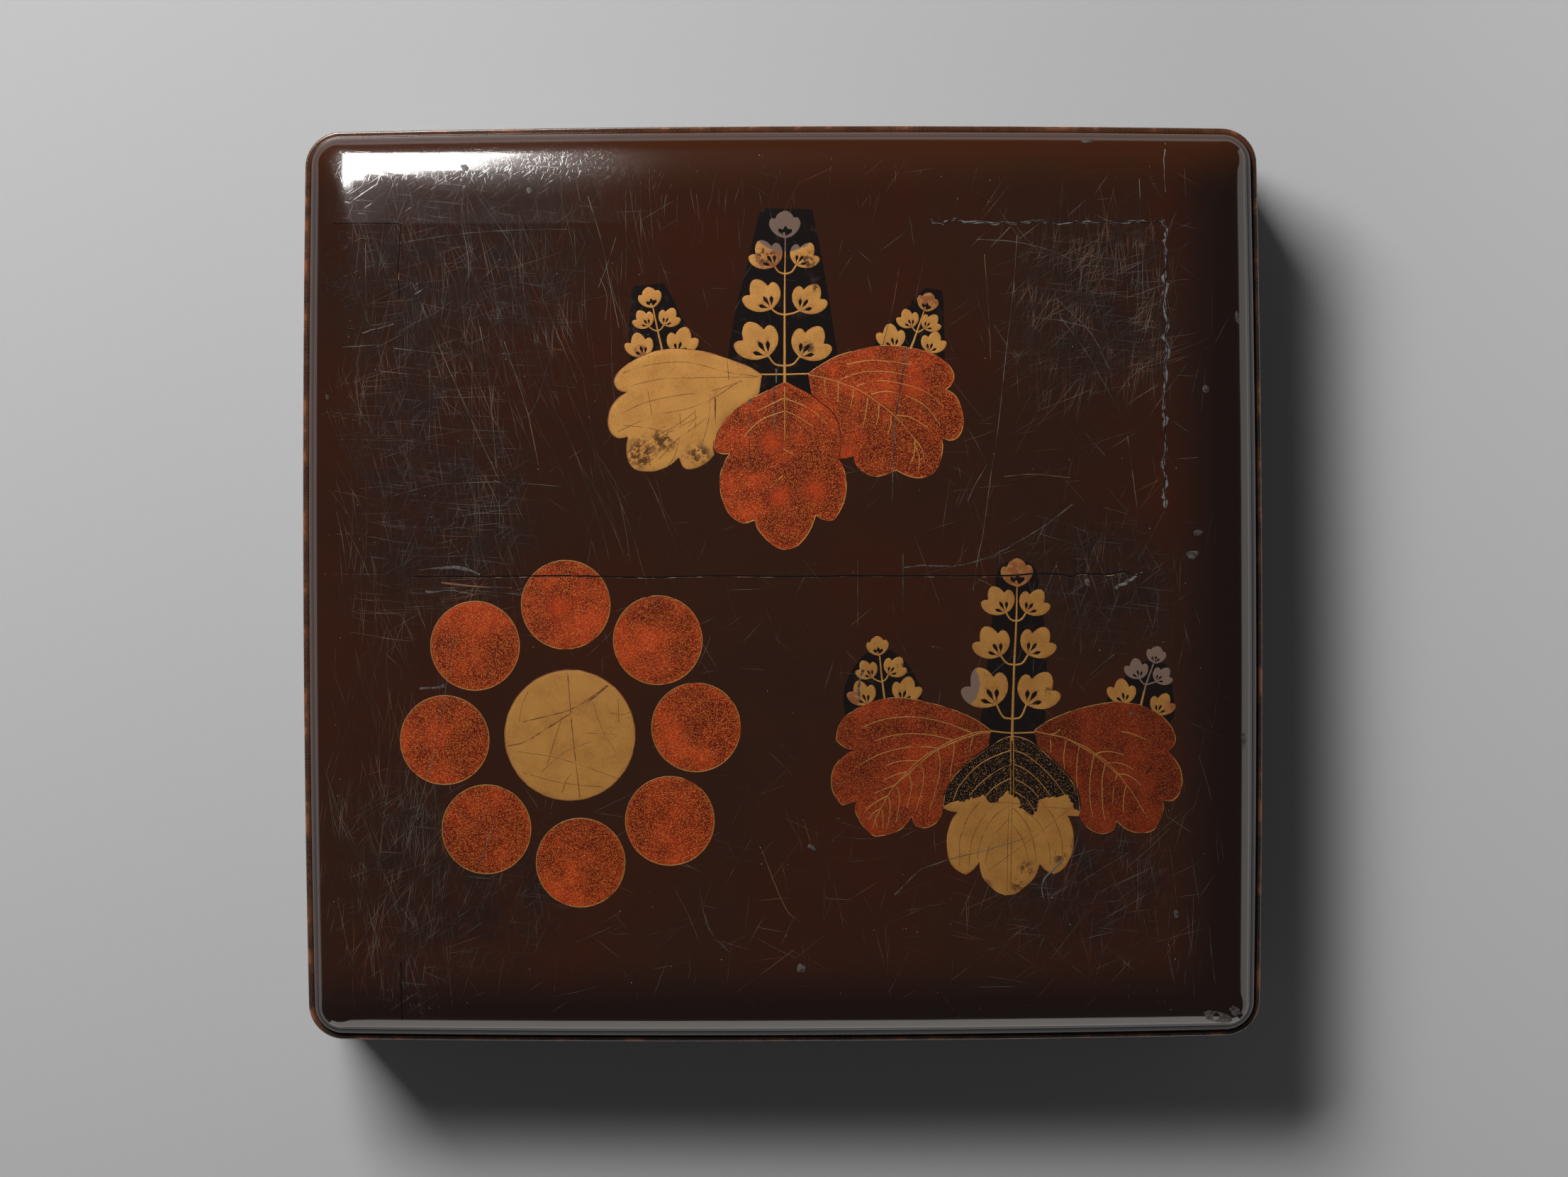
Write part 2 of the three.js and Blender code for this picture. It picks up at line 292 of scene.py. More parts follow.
tray_coat_low, tray_coat_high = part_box("tray_lacquer_skin")
TRAY_EDGE = tray_coat_low[2] / MILLIMETRE
TRAY_RIM = tray_coat_high[2] / MILLIMETRE
RIM_ROUND = 0.7
LIP_ROUND = 0.35
ROUND_STEPS = 4
WORN_STRIP = 5
SHARP_EDGE = math.radians(55)

DEEP_BROWN = (0.0100, 0.0043, 0.0029, 1)
WARM_BROWN = (0.0268, 0.0068, 0.0027, 1)
OLIVE_BROWN = (0.0225, 0.0076, 0.0035, 1)
RED_BROWN = (0.036, 0.0095, 0.0020, 1)
SCUFFED_GREY = (0.075, 0.066, 0.058, 1)
WORN_RED_BROWN = (0.085, 0.028, 0.012, 1)
BARE_CLOTH = (0.21, 0.068, 0.025, 1)
DUSTY_THREADS = (0.17, 0.10, 0.065, 1)
THREAD_PITCH = 0.68

# Where the lacquer's tone changes: from the first to the second place along x or y, in metres. The front and
# right shoulders, turned away from the lamp, are painted darker as painted shade; the left is painted darker
# as painted shade against the lamp's stronger light there; the back is redder.
SHADE_PAINTED_FRONT = (-0.173, -0.149)
SHADE_PAINTED_RIGHT = (0.177, 0.152)
SHADE_PAINTED_LEFT = (-0.07, -0.15)
REDDER_BACK = (0.156, 0.183)
# The left end of the back rail is rubbed dull as far as its joint, and so are these areas of the lid, given
# by middle and reach along x and y in millimetres
RUBBED_RAIL_LEFT = (-0.187, -0.184)
RUBBED_RAIL_RIGHT = (-0.040, -0.098)
RUBBED_RAIL_FRONT = (0.1455, 0.1464)
SCUFFED_AREAS = (
    (-130, 125, 75, 50), (-152, 60, 28, 110), (-128, 30, 40, 60), (-148, -115, 30, 75), (-120, -125, 50, 45),
    (127, 112, 42, 48), (120, -120, 55, 45), (128, 0, 45, 40),
)


def combine(tree, operation, first, second=0.0, third=0.0):
    return result(tree, "ShaderNodeMath", {0: first, 1: second, 2: third}, operation=operation)


def times(tree, share, *others):
    """Shares multiplied with each other."""
    for other in others:
        share = combine(tree, "MULTIPLY", share, other)
    return share


def vector_math(tree, operation, *values):
    """One step of reckoning with vectors. A distance or length comes out as a plain number."""
    node = add_node(tree, "ShaderNodeVectorMath", dict(enumerate(values)), operation=operation)
    return node.outputs["Value" if operation in ("DISTANCE", "LENGTH") else "Vector"]


def arc_radius(half):
    return (half * half + SIDE_BOW * SIDE_BOW) / (2 * SIDE_BOW)


def level_line(inset, radius):
    """One turn round the box from +X, as eight arcs that run into each other."""
    side_arc = arc_radius(HALF_WIDTH)
    end_arc = arc_radius(HALF_LENGTH)
    side_centre = HALF_LENGTH - side_arc
    end_centre = HALF_WIDTH - end_arc
    side_reach = side_arc - inset
    end_reach = end_arc - inset
    cx = HALF_LENGTH - inset - radius
    cy = HALF_WIDTH - inset - radius
    for _ in range(CORNER_PASSES):
        cx = side_centre + math.sqrt((side_reach - radius) ** 2 - cy * cy)
        cy = end_centre + math.sqrt((end_reach - radius) ** 2 - cx * cx)
    side_turn = math.atan2(cy, cx - side_centre)
    end_turn = math.atan2(cy - end_centre, cx)
    quarter = []
    for i in range(SIDE_STEPS):
        turn = side_turn * i / SIDE_STEPS
        quarter.append((side_centre + side_reach * math.cos(turn), side_reach * math.sin(turn)))
    for i in range(CORNER_STEPS):
        turn = side_turn + (end_turn - side_turn) * i / CORNER_STEPS
        quarter.append((cx + radius * math.cos(turn), cy + radius * math.sin(turn)))
    for i in range(SIDE_STEPS):
        turn = end_turn + (math.pi / 2 - end_turn) * i / SIDE_STEPS
        quarter.append((end_reach * math.cos(turn), end_centre + end_reach * math.sin(turn)))
    quarter.append((0, HALF_WIDTH - inset))
    half = quarter + [(-x, y) for x, y in reversed(quarter[:-1])]
    return half + [(x, -y) for x, y in reversed(half[1:-1])]


def ring(inset, height, family):
    """The level line of a wall's face at one height."""
    return [(x, y, height) for x, y in level_line(inset, family[1] - (inset - family[0]))]


def quarter_round(inset, height, size, family, start, turn=1):
    """Rings of a rounded edge about (inset, height). The angle counts from outwards to up, in degrees."""
    rings = []
    for i in range(ROUND_STEPS + 1):
        angle = math.radians(start + turn * 90 * i / ROUND_STEPS)
        rings.append(ring(inset - size * math.cos(angle), height + size * math.sin(angle), family))
    return rings


def new_mesh(name, vertices, edges, faces):
    mesh = bpy.data.meshes.new(name)
    mesh.from_pydata(vertices, edges, faces)
    return mesh


def give_values(mesh, domain, **values):
    """Hands a mesh lists of numbers under their names, one number for each point or face."""
    for label, numbers in values.items():
        mesh.attributes.new(label, "FLOAT", domain).data.foreach_set("value", numbers)


def level_shell(name, rings, middles=None, worn=None):
    """One closed body through the rings, whose section runs up the outside and down the inside.
    With `middles` both ends close over the middle at those heights, or else the last ring meets the first.
    The map `wrap` holds millimetres round the box and along the section, and `worn` is a share per ring."""
    count = len(rings[0])
    rows = len(rings)
    vertices = [metres(*point) for line in rings for point in line]
    quads = []
    for row in range(rows - 1 if middles else rows):
        for i in range(count):
            quads.append(((i, row), (i + 1, row), (i + 1, row + 1), (i, row + 1)))
    faces = [tuple(row % rows * count + i % count for i, row in quad) for quad in quads]
    if middles:
        vertices += [metres(0, 0, middles[0]), metres(0, 0, middles[1])]
        last = (rows - 1) * count
        for i in range(count):
            following = (i + 1) % count
            faces.append((rows * count, following, i))
            faces.append((rows * count + 1, last + i, last + following))
    mesh = new_mesh(name, vertices, [], faces)
    longest = max(rings, key=lambda line: line[0][0])
    along = running_length([longest[i % count] for i in range(count + 1)])
    across = running_length([rings[row % rows][0] for row in range(rows + 1)])
    wrap = mesh.uv_layers.new(name="wrap")
    for face, quad in zip(mesh.polygons, quads):
        for loop, (i, row) in zip(face.loop_indices, quad):
            wrap.data[loop].uv = (along[i], across[row])
    ring_wear = (worn or [0.0] * rows) + [0.0]
    give_values(mesh, "POINT", worn=[ring_wear[i // count] for i in range(len(vertices))])
    mesh.shade_smooth()
    mesh.set_sharp_from_angle(angle=SHARP_EDGE)
    return put_in_scene(name, mesh)


def running_length(points):
    total = [0.0]
    for a, b in zip(points, points[1:]):
        total.append(total[-1] + math.dist(a, b))
    return total


def around(tree, place, x, y, reach_x, reach_y):
    """1 in the middle of an oval area of the lid, given in millimetres, and 0 outside it."""
    moved = vector_math(tree, "SUBTRACT", place, metres(x, y, 0))
    sized = vector_math(tree, "MULTIPLY", moved, (1000 / reach_x, 1000 / reach_y, 0))
    return rises(tree, vector_math(tree, "LENGTH", sized), 1.0, 0.25)


def attribute(tree, name):
    """Numbers that the mesh carries under a name."""
    return add_node(tree, "ShaderNodeAttribute", attribute_name=name).outputs["Fac"]


def brown_lacquer(name, scratched):
    """Aged brown-black lacquer over cloth. `scratched` is how hard it has been used, from 0 to 1."""
    finish, tree = new_finish(name)
    place = place_in_piece(tree)
    x, y, _ = parts(tree, place)
    # Painted shade: the front and right shoulders, away from the lamp, are painted darker
    painted_shade_turned_away = times(tree, rises(tree, y, *SHADE_PAINTED_FRONT), rises(tree, x, *SHADE_PAINTED_RIGHT))
    # Painted shade: the lacquer near the lamp is painted darker to offset the lamp's stronger light there
    painted_shade_near_lamp = blend_amounts(tree, rises(tree, x, *SHADE_PAINTED_LEFT), 1.0, 0.85)
    tone = blend_amounts(tree, 0.35, clouds(tree, place, 90), clouds(tree, place, 14))
    tone = times(tree, blend_amounts(tree, rises(tree, tone, 0.3, 0.72), 0.78, 1.08), painted_shade_turned_away, painted_shade_near_lamp)
    warmth = rises(tree, clouds(tree, place, 75, detail=4), 0.40, 0.60)
    colour = blend_colours(tree, tone, DEEP_BROWN, blend_colours(tree, warmth, OLIVE_BROWN, WARM_BROWN))
    colour = blend_colours(tree, rises(tree, y, *REDDER_BACK), colour, RED_BROWN)
    areas = 0.0
    for area in SCUFFED_AREAS:
        areas = combine(tree, "MAXIMUM", areas, around(tree, place, *area))
    blotches = rises(tree, clouds(tree, place, 13, detail=7, roughness=0.62), 0.36, 0.66)
    areas = times(tree, areas, blend_amounts(tree, blotches, 0.35, 1.4))
    streaks = 0.0
    for size, turn in ((0.8, 6), (0.6, 78), (0.7, 112), (0.6, -34)):
        grain = clouds(tree, turned(tree, place, (0.04, 1, 1), turn), size, detail=2)
        streaks = combine(tree, "MAXIMUM", streaks, rises(tree, grain, 0.60, 0.80))
    scuffs = times(tree, areas, streaks)
    colour = blend_colours(tree, times(tree, areas, 0.60 * scratched), colour, DEEP_BROWN)
    colour = blend_colours(tree, times(tree, scuffs, 0.50 * scratched), colour, SCUFFED_GREY)
    worn = attribute(tree, "worn")
    wear = times(tree, worn, rises(tree, clouds(tree, place, 11, detail=6), 0.43, 0.64))
    colour = blend_colours(tree, times(tree, wear, 0.9), colour, WORN_RED_BROWN)
    wrap = result(tree, "ShaderNodeUVMap", uv_map="wrap")
    threads = add_node(tree, "ShaderNodeTexVoronoi", {"Vector": wrap, "Scale": 1 / THREAD_PITCH,
                                                      "Randomness": 0.35}, voronoi_dimensions="2D")
    knots = rises(tree, threads.outputs["Distance"], 0.6, 0.15)
    bare = times(tree, rises(tree, wear, 0.72, 1.0), blend_amounts(tree, knots, 0.35, 1.0))
    colour = blend_colours(tree, bare, colour, BARE_CLOTH)
    dusty = times(tree, knots, rises(tree, worn, 0.3, 0.7), 0.3)
    colour = blend_colours(tree, dusty, colour, DUSTY_THREADS)
    cloth_relief = bumped(tree, times(tree, worn, 0.12, knots), 0.0002, 0.6)
    wave = bumped(tree, clouds(tree, place, 45, detail=2), 0.0004, 0.35, under=cloth_relief)
    rough = blend_amounts(tree, combine(tree, "MAXIMUM", areas, wear), 0.27, 0.30)
    haze = blend_amounts(tree, areas, 0.015, 0.105)
    rail = times(tree, rises(tree, x, *RUBBED_RAIL_LEFT), rises(tree, x, *RUBBED_RAIL_RIGHT),
                 rises(tree, y, *RUBBED_RAIL_FRONT))
    scored = times(tree, combine(tree, "MAXIMUM", areas, rail), streaks, scratched)
    scored_wave = bumped(tree, scored, 0.00005, 0.22, under=wave)
    haze = combine(tree, "ADD", haze, times(tree, rail, blend_amounts(tree, streaks, 0.17, 0.9), scratched))
    surface(tree, Base_Color=colour, Roughness=rough, Specular_IOR_Level=haze, Normal=wave,
            Coat_Weight=1.0, Coat_Roughness=0.075, Coat_IOR=1.75, Coat_Normal=scored_wave)
    return finish


def give(piece, body, finish, slot, *replaced):
    """Finishes a piece, lets it ride on its body and stand for the modelled parts it replaces."""
    paint(piece, finish)
    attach(piece, body)
    if replaced:
        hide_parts(*replaced)


coat_inner = TRAY_OUTER + COAT
rings = [ring(coat_inner, TRAY_RIM - COAT, LID_INSIDE), ring(coat_inner, TRAY_EDGE, LID_INSIDE)]
rings += quarter_round(TRAY_OUTER + LIP_ROUND, TRAY_EDGE + LIP_ROUND, LIP_ROUND, LID_INSIDE, -90)
foot_rows = len(rings)
rings += [ring(TRAY_OUTER, TRAY_EDGE + WORN_STRIP, LID_INSIDE),
          ring(TRAY_OUTER, TRAY_RIM - WORN_STRIP, LID_INSIDE)]
rings += quarter_round(TRAY_OUTER + RIM_ROUND, TRAY_RIM - RIM_ROUND, RIM_ROUND, LID_INSIDE, 0)
rings += quarter_round(TRAY_FACE - LIP_ROUND, TRAY_RIM - LIP_ROUND, LIP_ROUND, TRAY_INSIDE, 90)
rings.append(ring(TRAY_FACE, TRAY_RIM - COAT, TRAY_INSIDE))
rim_wear = [0.5] * foot_rows + [0.0, 0.0] + [0.8] * (len(rings) - foot_rows - 2)
tray_lacquer = brown_lacquer("tray_lacquer", 0.35)
give(level_shell("tray_outer_coat", rings, worn=rim_wear), "tray", tray_lacquer, "brown_black_lacquer",
     "tray_lacquer_skin")
paint(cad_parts["tray_base_skin"], tray_lacquer)

# Lining of the tray. Satin black lacquer over the boards and up the sides, with the corner at the floor
# filled to a soft cove so that folded clothes don't catch in it.

TRAY_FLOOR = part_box("tray_lining_skin")[0][2] / MILLIMETRE + LINING
LINING_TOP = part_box("tray_lining_skin")[1][2] / MILLIMETRE
COVE = 3.0
LINING_BLACK = (0.012, 0.0085, 0.0075, 1)
LINING_WORN = (0.030, 0.019, 0.014, 1)


def lining_lacquer(name):
    finish, tree = new_finish(name)
    place = place_in_piece(tree)
    rubbed = rises(tree, clouds(tree, place, 70, detail=5), 0.45, 0.75)
    brush = clouds(tree, turned(tree, place, (0.05, 1, 1)), 1.2, detail=3)
    colour = blend_colours(tree, rubbed, LINING_BLACK, LINING_WORN)
    rough = blend_amounts(tree, rubbed, 0.26, 0.42)
    surface(tree, Base_Color=colour, Roughness=rough, Normal=bumped(tree, brush, 0.0001, 0.25),
            Coat_Weight=0.3, Coat_Roughness=0.2)
    return finish


rings = [ring(TRAY_FACE - LINING, TRAY_FLOOR - LINING, TRAY_INSIDE),
         ring(TRAY_FACE - LINING, LINING_TOP, TRAY_INSIDE),
         ring(TRAY_FACE, LINING_TOP, TRAY_INSIDE)]
rings += quarter_round(TRAY_FACE + COVE, TRAY_FLOOR + COVE, COVE, TRAY_INSIDE, 0, turn=-1)
lining_finish = lining_lacquer("tray_and_lid_lining")
give(level_shell("tray_lining", rings, middles=(TRAY_FLOOR - LINING, TRAY_FLOOR)), "tray", lining_finish,
     "lining_lacquer", "tray_lining_skin")

# Woodwork of the lid. Four bowed sides and four corner blocks carry a frame of two rails and two stiles,
# laid like a pinwheel, and the frame holds the domed panel of two boards.

show_wood(["lid_rail_back", "lid_rail_front", "lid_wall_back", "lid_wall_front"], "along_x")
show_wood(["lid_panel_back", "lid_panel_front"], "along_x")
show_wood(["lid_stile_left", "lid_stile_right", "lid_wall_left", "lid_wall_right"], "along_y")
show_wood(["lid_corner_" + corner for corner in CORNERS], "upright")

# Lining of the lid. The same satin black lacquer inside the lid's walls, over the underside of the frame,
# and up into the shallow recess that the thinner panel leaves.

lining_low, lining_high = [[side / MILLIMETRE for side in corner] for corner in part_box("lid_lining_skin")]
LID_CEILING = TRAY_RIM + GAP
RECESS_TOP = lining_high[2]
RECESS_SIDE = 154.35
RECESS_BACK = 145.55
RECESS_FRONT = -148.55
RECESS_CORNER = 1.5


def recess_ring(margin, height):
    """The recess's outline with the same number of points as a level line, so that the rings join."""
    x = RECESS_SIDE - margin
    back = RECESS_BACK - margin
    front = -RECESS_FRONT - margin
    straight_x = x - RECESS_CORNER
    line = []
    for side_x, side_y, reach in ((1, 1, back), (-1, 1, back), (-1, -1, front), (1, -1, front)):
        straight_y = reach - RECESS_CORNER
        quarter = [(x, straight_y * i / SIDE_STEPS) for i in range(SIDE_STEPS)]
        for i in range(CORNER_STEPS):
            turn = math.pi / 2 * i / CORNER_STEPS
            quarter.append((straight_x + RECESS_CORNER * math.cos(turn),
                            straight_y + RECESS_CORNER * math.sin(turn)))
        quarter += [(straight_x * (1 - i / SIDE_STEPS), reach) for i in range(SIDE_STEPS + 1)]
        turned_quarter = [(side_x * px, side_y * py, height) for px, py in quarter]
        line += turned_quarter[:-1] if side_x == side_y else list(reversed(turned_quarter))[:-1]
    return line


rings = [recess_ring(LINING, RECESS_TOP - LINING), recess_ring(LINING, LID_CEILING)]
rings += reversed(quarter_round(LID_FACE + COVE, LID_CEILING - COVE, COVE, LID_INSIDE, 0))
rings += [ring(LID_FACE, lining_low[2], LID_INSIDE), ring(LID_FACE - LINING, lining_low[2], LID_INSIDE),
          ring(LID_FACE - LINING, LID_CEILING + LINING, LID_INSIDE)]
rings += [recess_ring(0, LID_CEILING + LINING), recess_ring(0, RECESS_TOP)]
give(level_shell("lid_lining", rings, middles=(RECESS_TOP - LINING, RECESS_TOP)), "lid", lining_finish,
     "lining_lacquer", "lid_lining_skin")

# Outer coat of the lid, the face of the whole box. Cloth and ground lacquer under brown-black lacquer run
# from the foot of the walls over a narrow ledge and the pillow-shaped top, and wear shows first on the edges.

SKIRT_FOOT = lid_low[2]
LEDGE_WIDTH = 2.5
EDGE_ROUND = 0.6
GROOVE_WIDTH = 0.35
GROOVE_DEPTH = 0.3
RISER = 1.0
SHOULDER_WIDTH = 27.0
SHOULDER_RISE = 10.8
CROWN_RISE = 2.5
LEDGE_HEIGHT = lid_high[2] - RISER - SHOULDER_RISE - CROWN_RISE
CORNER_ROUNDING = 0.094
SHOULDER_STEPS = 30
CROWN_STEPS = 26


def crown(x, y):
    along_x = 1 - (x / (HALF_LENGTH - LEDGE_WIDTH)) ** 2
    along_y = 1 - (y / (HALF_WIDTH - LEDGE_WIDTH)) ** 2
    return CROWN_RISE * along_x * along_y


def dome_ring(angle, depth):
    """A level line of the dome's shoulder, `depth` below its face, from 0 degrees at the riser to 90 at the
    crown."""
    turn = math.radians(angle)
    inset = LEDGE_WIDTH + SHOULDER_WIDTH - (SHOULDER_WIDTH - depth) * math.cos(turn)
    height = LEDGE_HEIGHT + RISER + (SHOULDER_RISE - depth) * math.sin(turn)
    run = inset - LEDGE_WIDTH
    radius = LID_OUTSIDE[1] - LEDGE_WIDTH - run + CORNER_ROUNDING * run * run
    return [(x, y, height + crown(x, y)) for x, y in level_line(inset, radius)]


def dome_rings(depth=0.0):
    """The whole dome from the riser to just short of the middle."""
    rings = [dome_ring(90 * i / SHOULDER_STEPS, depth) for i in range(SHOULDER_STEPS + 1)]
    top = LEDGE_HEIGHT + RISER + SHOULDER_RISE - depth
    rim = rings[-1]
    for step in range(CROWN_STEPS - 1, 0, -1):
        part = step / CROWN_STEPS
        rings.append([(x * part, y * part, top + crown(x * part, y * part)) for x, y, _ in rim])
    return rings


inside = list(reversed(dome_rings(COAT)))
spring_inset = LEDGE_WIDTH + COAT
inside += [ring(spring_inset, LEDGE_HEIGHT - COAT, LID_OUTSIDE), ring(COAT, LEDGE_HEIGHT - COAT, LID_OUTSIDE),
           ring(COAT, SKIRT_FOOT + COAT, LID_OUTSIDE), ring(LID_FACE, SKIRT_FOOT + COAT, LID_INSIDE)]
foot = quarter_round(LID_FACE - LIP_ROUND, SKIRT_FOOT + LIP_ROUND, LIP_ROUND, LID_INSIDE, 180)
foot += quarter_round(EDGE_ROUND, SKIRT_FOOT + EDGE_ROUND, EDGE_ROUND, LID_OUTSIDE, -90)
wall = [ring(0, SKIRT_FOOT + WORN_STRIP, LID_OUTSIDE), ring(0, LEDGE_HEIGHT - WORN_STRIP, LID_OUTSIDE)]
ledge = quarter_round(EDGE_ROUND, LEDGE_HEIGHT - EDGE_ROUND, EDGE_ROUND, LID_OUTSIDE, 0)
groove_from = LEDGE_WIDTH - GROOVE_WIDTH
ledge += [ring(groove_from - GROOVE_WIDTH, LEDGE_HEIGHT, LID_OUTSIDE),
          ring(groove_from, LEDGE_HEIGHT - GROOVE_DEPTH, LID_OUTSIDE),
          ring(LEDGE_WIDTH, LEDGE_HEIGHT - GROOVE_DEPTH, LID_OUTSIDE)]
dome = dome_rings()
ledge_wear = [1.0] * (len(ledge) - 3) + [0.72, 0.35, 0.45]
coat_wear = [0.0] * len(inside) + [0.5] * len(foot) + [0.0, 0.0] + ledge_wear + [0.3, 0.1, 0.0]
coat_wear += [0.0] * (len(dome) - 3)
top_middle = lid_high[2]
lid_coat = level_shell("lid_outer_coat", inside + foot + wall + ledge + dome,
                       middles=(top_middle - COAT, top_middle), worn=coat_wear)
give(lid_coat, "lid", brown_lacquer("lid_lacquer", 1.0), "brown_black_lacquer", "lid_lacquer_skin")

# Crest in the upper middle. Three paulownia leaves under three flower spikes, laid in gold powder and in gold
# flakes under orange-brown lacquer (nashiji), on grounds of fresh black lacquer. First the black grounds.

PICTURE_MIDDLE = (1106, 830)
PIXELS_PER_MM = PICTURE_SIZE[0] * LENS / SENSOR / (CAMERA_PLACE[2] - top_middle)
GROUND_RELIEF = 0.03
ROOT_DEPTH = 0.05
OUTLINE_STEPS = 4
SOFT_EDGE = 0.5
RIM_WIDTH = 2.4
INNER_GRID = 8.0
FRESH_BLACK = (0.0052, 0.0036, 0.0032, 1)
RAY_START = 0.2


def on_lid(picture_point):
    """Millimetres on the lid of a point measured in the photograph."""
    right = (picture_point[0] - PICTURE_MIDDLE[0]) / PIXELS_PER_MM
    up = (PICTURE_MIDDLE[1] - picture_point[1]) / PIXELS_PER_MM
    x = CAMERA_PLACE[0] + right * math.cos(CAMERA_TURN) - up * math.sin(CAMERA_TURN)
    y = CAMERA_PLACE[1] + right * math.sin(CAMERA_TURN) + up * math.cos(CAMERA_TURN)
    return Vector((x, y))


def through(points, steps=OUTLINE_STEPS):
    """A smooth open line through the points."""
    line = []
    for i in range(len(points) - 1):
        before, a, b = points[max(i - 1, 0)], points[i], points[i + 1]
        after = points[min(i + 2, len(points) - 1)]
        span = (b - a).length
        leaving = (b - before) * span / (span + (a - before).length)
        arriving = (after - a) * span / (span + (after - b).length)
        for step in range(steps):
            t = step / steps
            line.append(a * (2 * t ** 3 - 3 * t ** 2 + 1) + leaving * (t ** 3 - 2 * t ** 2 + t)
                        + b * (3 * t ** 2 - 2 * t ** 3) + arriving * (t ** 3 - t ** 2))
    return line + [points[-1]]


def lobed(lobes, place=on_lid):
    """A closed outline, smooth along each lobe and sharp where one lobe ends and the next begins."""
    line = []
    start = lobes[-1][-1]
    for lobe in lobes:
        line += through([place(point) for point in [start, *lobe]])[:-1]
        start = lobe[-1]
    return line


def is_inside(point, outlines):
    inside = False
    for line in outlines:
        for a, b in zip(line, line[1:] + line[:1]):
            if (a.y > point.y) != (b.y > point.y):
                if point.x < a.x + (b.x - a.x) * (point.y - a.y) / (b.y - a.y):
                    inside = not inside
    return inside


def clearance(point, outlines):
    """How far a point lies from the nearest outline."""
    nearest = INNER_GRID
    for line in outlines:
        for a, b in zip(line, line[1:] + line[:1]):
            along = min(max((point - a).dot(b - a) / (b - a).length_squared, 0), 1)
            nearest = min(nearest, (a + (b - a) * along - point).length)
    return nearest


def inner_points(outlines):
    """Points of a soft edge, of the rim's inner border and of a grid, that carry a shape's top face."""
    found = []
    for offset in (SOFT_EDGE, RIM_WIDTH):
        for line in outlines:
            for a, b in zip(line, line[1:] + line[:1]):
                across = Vector((a.y - b.y, b.x - a.x)).normalized() * offset
                for point in ((a + b) / 2 + across, (a + b) / 2 - across):
                    if is_inside(point, outlines) and clearance(point, outlines) > offset * 0.9:
                        found.append((point, 0.6 if offset == SOFT_EDGE else 0.0))
    low_x, high_x = min(p.x for p in outlines[0]), max(p.x for p in outlines[0])
    low_y, high_y = min(p.y for p in outlines[0]), max(p.y for p in outlines[0])
    for i in range(int((high_x - low_x) / INNER_GRID) + 1):
        for j in range(int((high_y - low_y) / INNER_GRID) + 1):
            point = Vector((low_x + i * INNER_GRID, low_y + j * INNER_GRID))
            if is_inside(point, outlines) and clearance(point, outlines) > RIM_WIDTH * 1.3:
                found.append((point, 0.0))
    return found


def plates(name, shapes, relief):
    """Flat closed bodies, one for each shape. A shape is its outline and then the outlines of its holes.
    The attribute `rim` falls from 1 on the outline to 0 inside."""
    vertices, faces, rims = [], [], []
    for shape in shapes:
        points = [point for line in shape for point in line]
        edges = []
        for line in shape:
            first = len(edges)
            edges += [(first + i, first + (i + 1) % len(line)) for i in range(len(line))]
        inner = inner_points(shape)
        every_point = points + [point for point, _ in inner]
        found, _, triangles, origins, _, _ = delaunay_2d_cdt(every_point, edges, [], 1, 1e-5)
        share = [inner[origin[0] - len(points)][1] if origin and origin[0] >= len(points) else 1.0
                 for origin in origins]
        kept = [triangle for triangle in triangles
                if is_inside(sum((found[i] for i in triangle), Vector((0, 0))) / 3, shape)]
        top = len(vertices)
        root = top + len(found)
        vertices += [metres(point.x, point.y, relief * (0.45 if rim == 1.0 else 1.0))
                     for point, rim in zip(found, share)]
        vertices += [metres(point.x, point.y, -ROOT_DEPTH) for point in found]
        rims += share + share
        used = {(a, b) for triangle in kept for a, b in zip(triangle, triangle[1:] + triangle[:1])}
        faces += [tuple(top + i for i in triangle) for triangle in kept]
        faces += [tuple(root + i for i in reversed(triangle)) for triangle in kept]
        faces += [(root + a, root + b, top + b, top + a) for a, b in sorted(used) if (b, a) not in used]
    mesh = new_mesh(name, vertices, [], faces)
    give_values(mesh, "POINT", rim=rims)
    tidy = bmesh.new()
    tidy.from_mesh(mesh)
    bmesh.ops.delete(tidy, geom=[point for point in tidy.verts if not point.link_faces], context="VERTS")
    tidy.to_mesh(mesh)
    tidy.free()
    mesh.shade_smooth()
    mesh.set_sharp_from_angle(angle=SHARP_EDGE)
    return put_in_scene(name, mesh)


def new_nodes(name, **inputs):
    """An empty geometry tree with those named inputs, and its group input node's outputs by name."""
    tree = bpy.data.node_groups.new(name, "GeometryNodeTree")
    tree.interface.new_socket("Geometry", in_out="INPUT", socket_type="NodeSocketGeometry")
    for label, kind in inputs.items():
        tree.interface.new_socket(label, in_out="INPUT", socket_type="NodeSocket" + kind)
    tree.interface.new_socket("Geometry", in_out="OUTPUT", socket_type="NodeSocketGeometry")
    return tree, tree.nodes.new("NodeGroupInput").outputs


def xyz(tree, x=0.0, y=0.0, z=0.0):
    return result(tree, "ShaderNodeCombineXYZ", {0: x, 1: y, 2: z})


def point_places(tree):
    return result(tree, "GeometryNodeInputPosition")


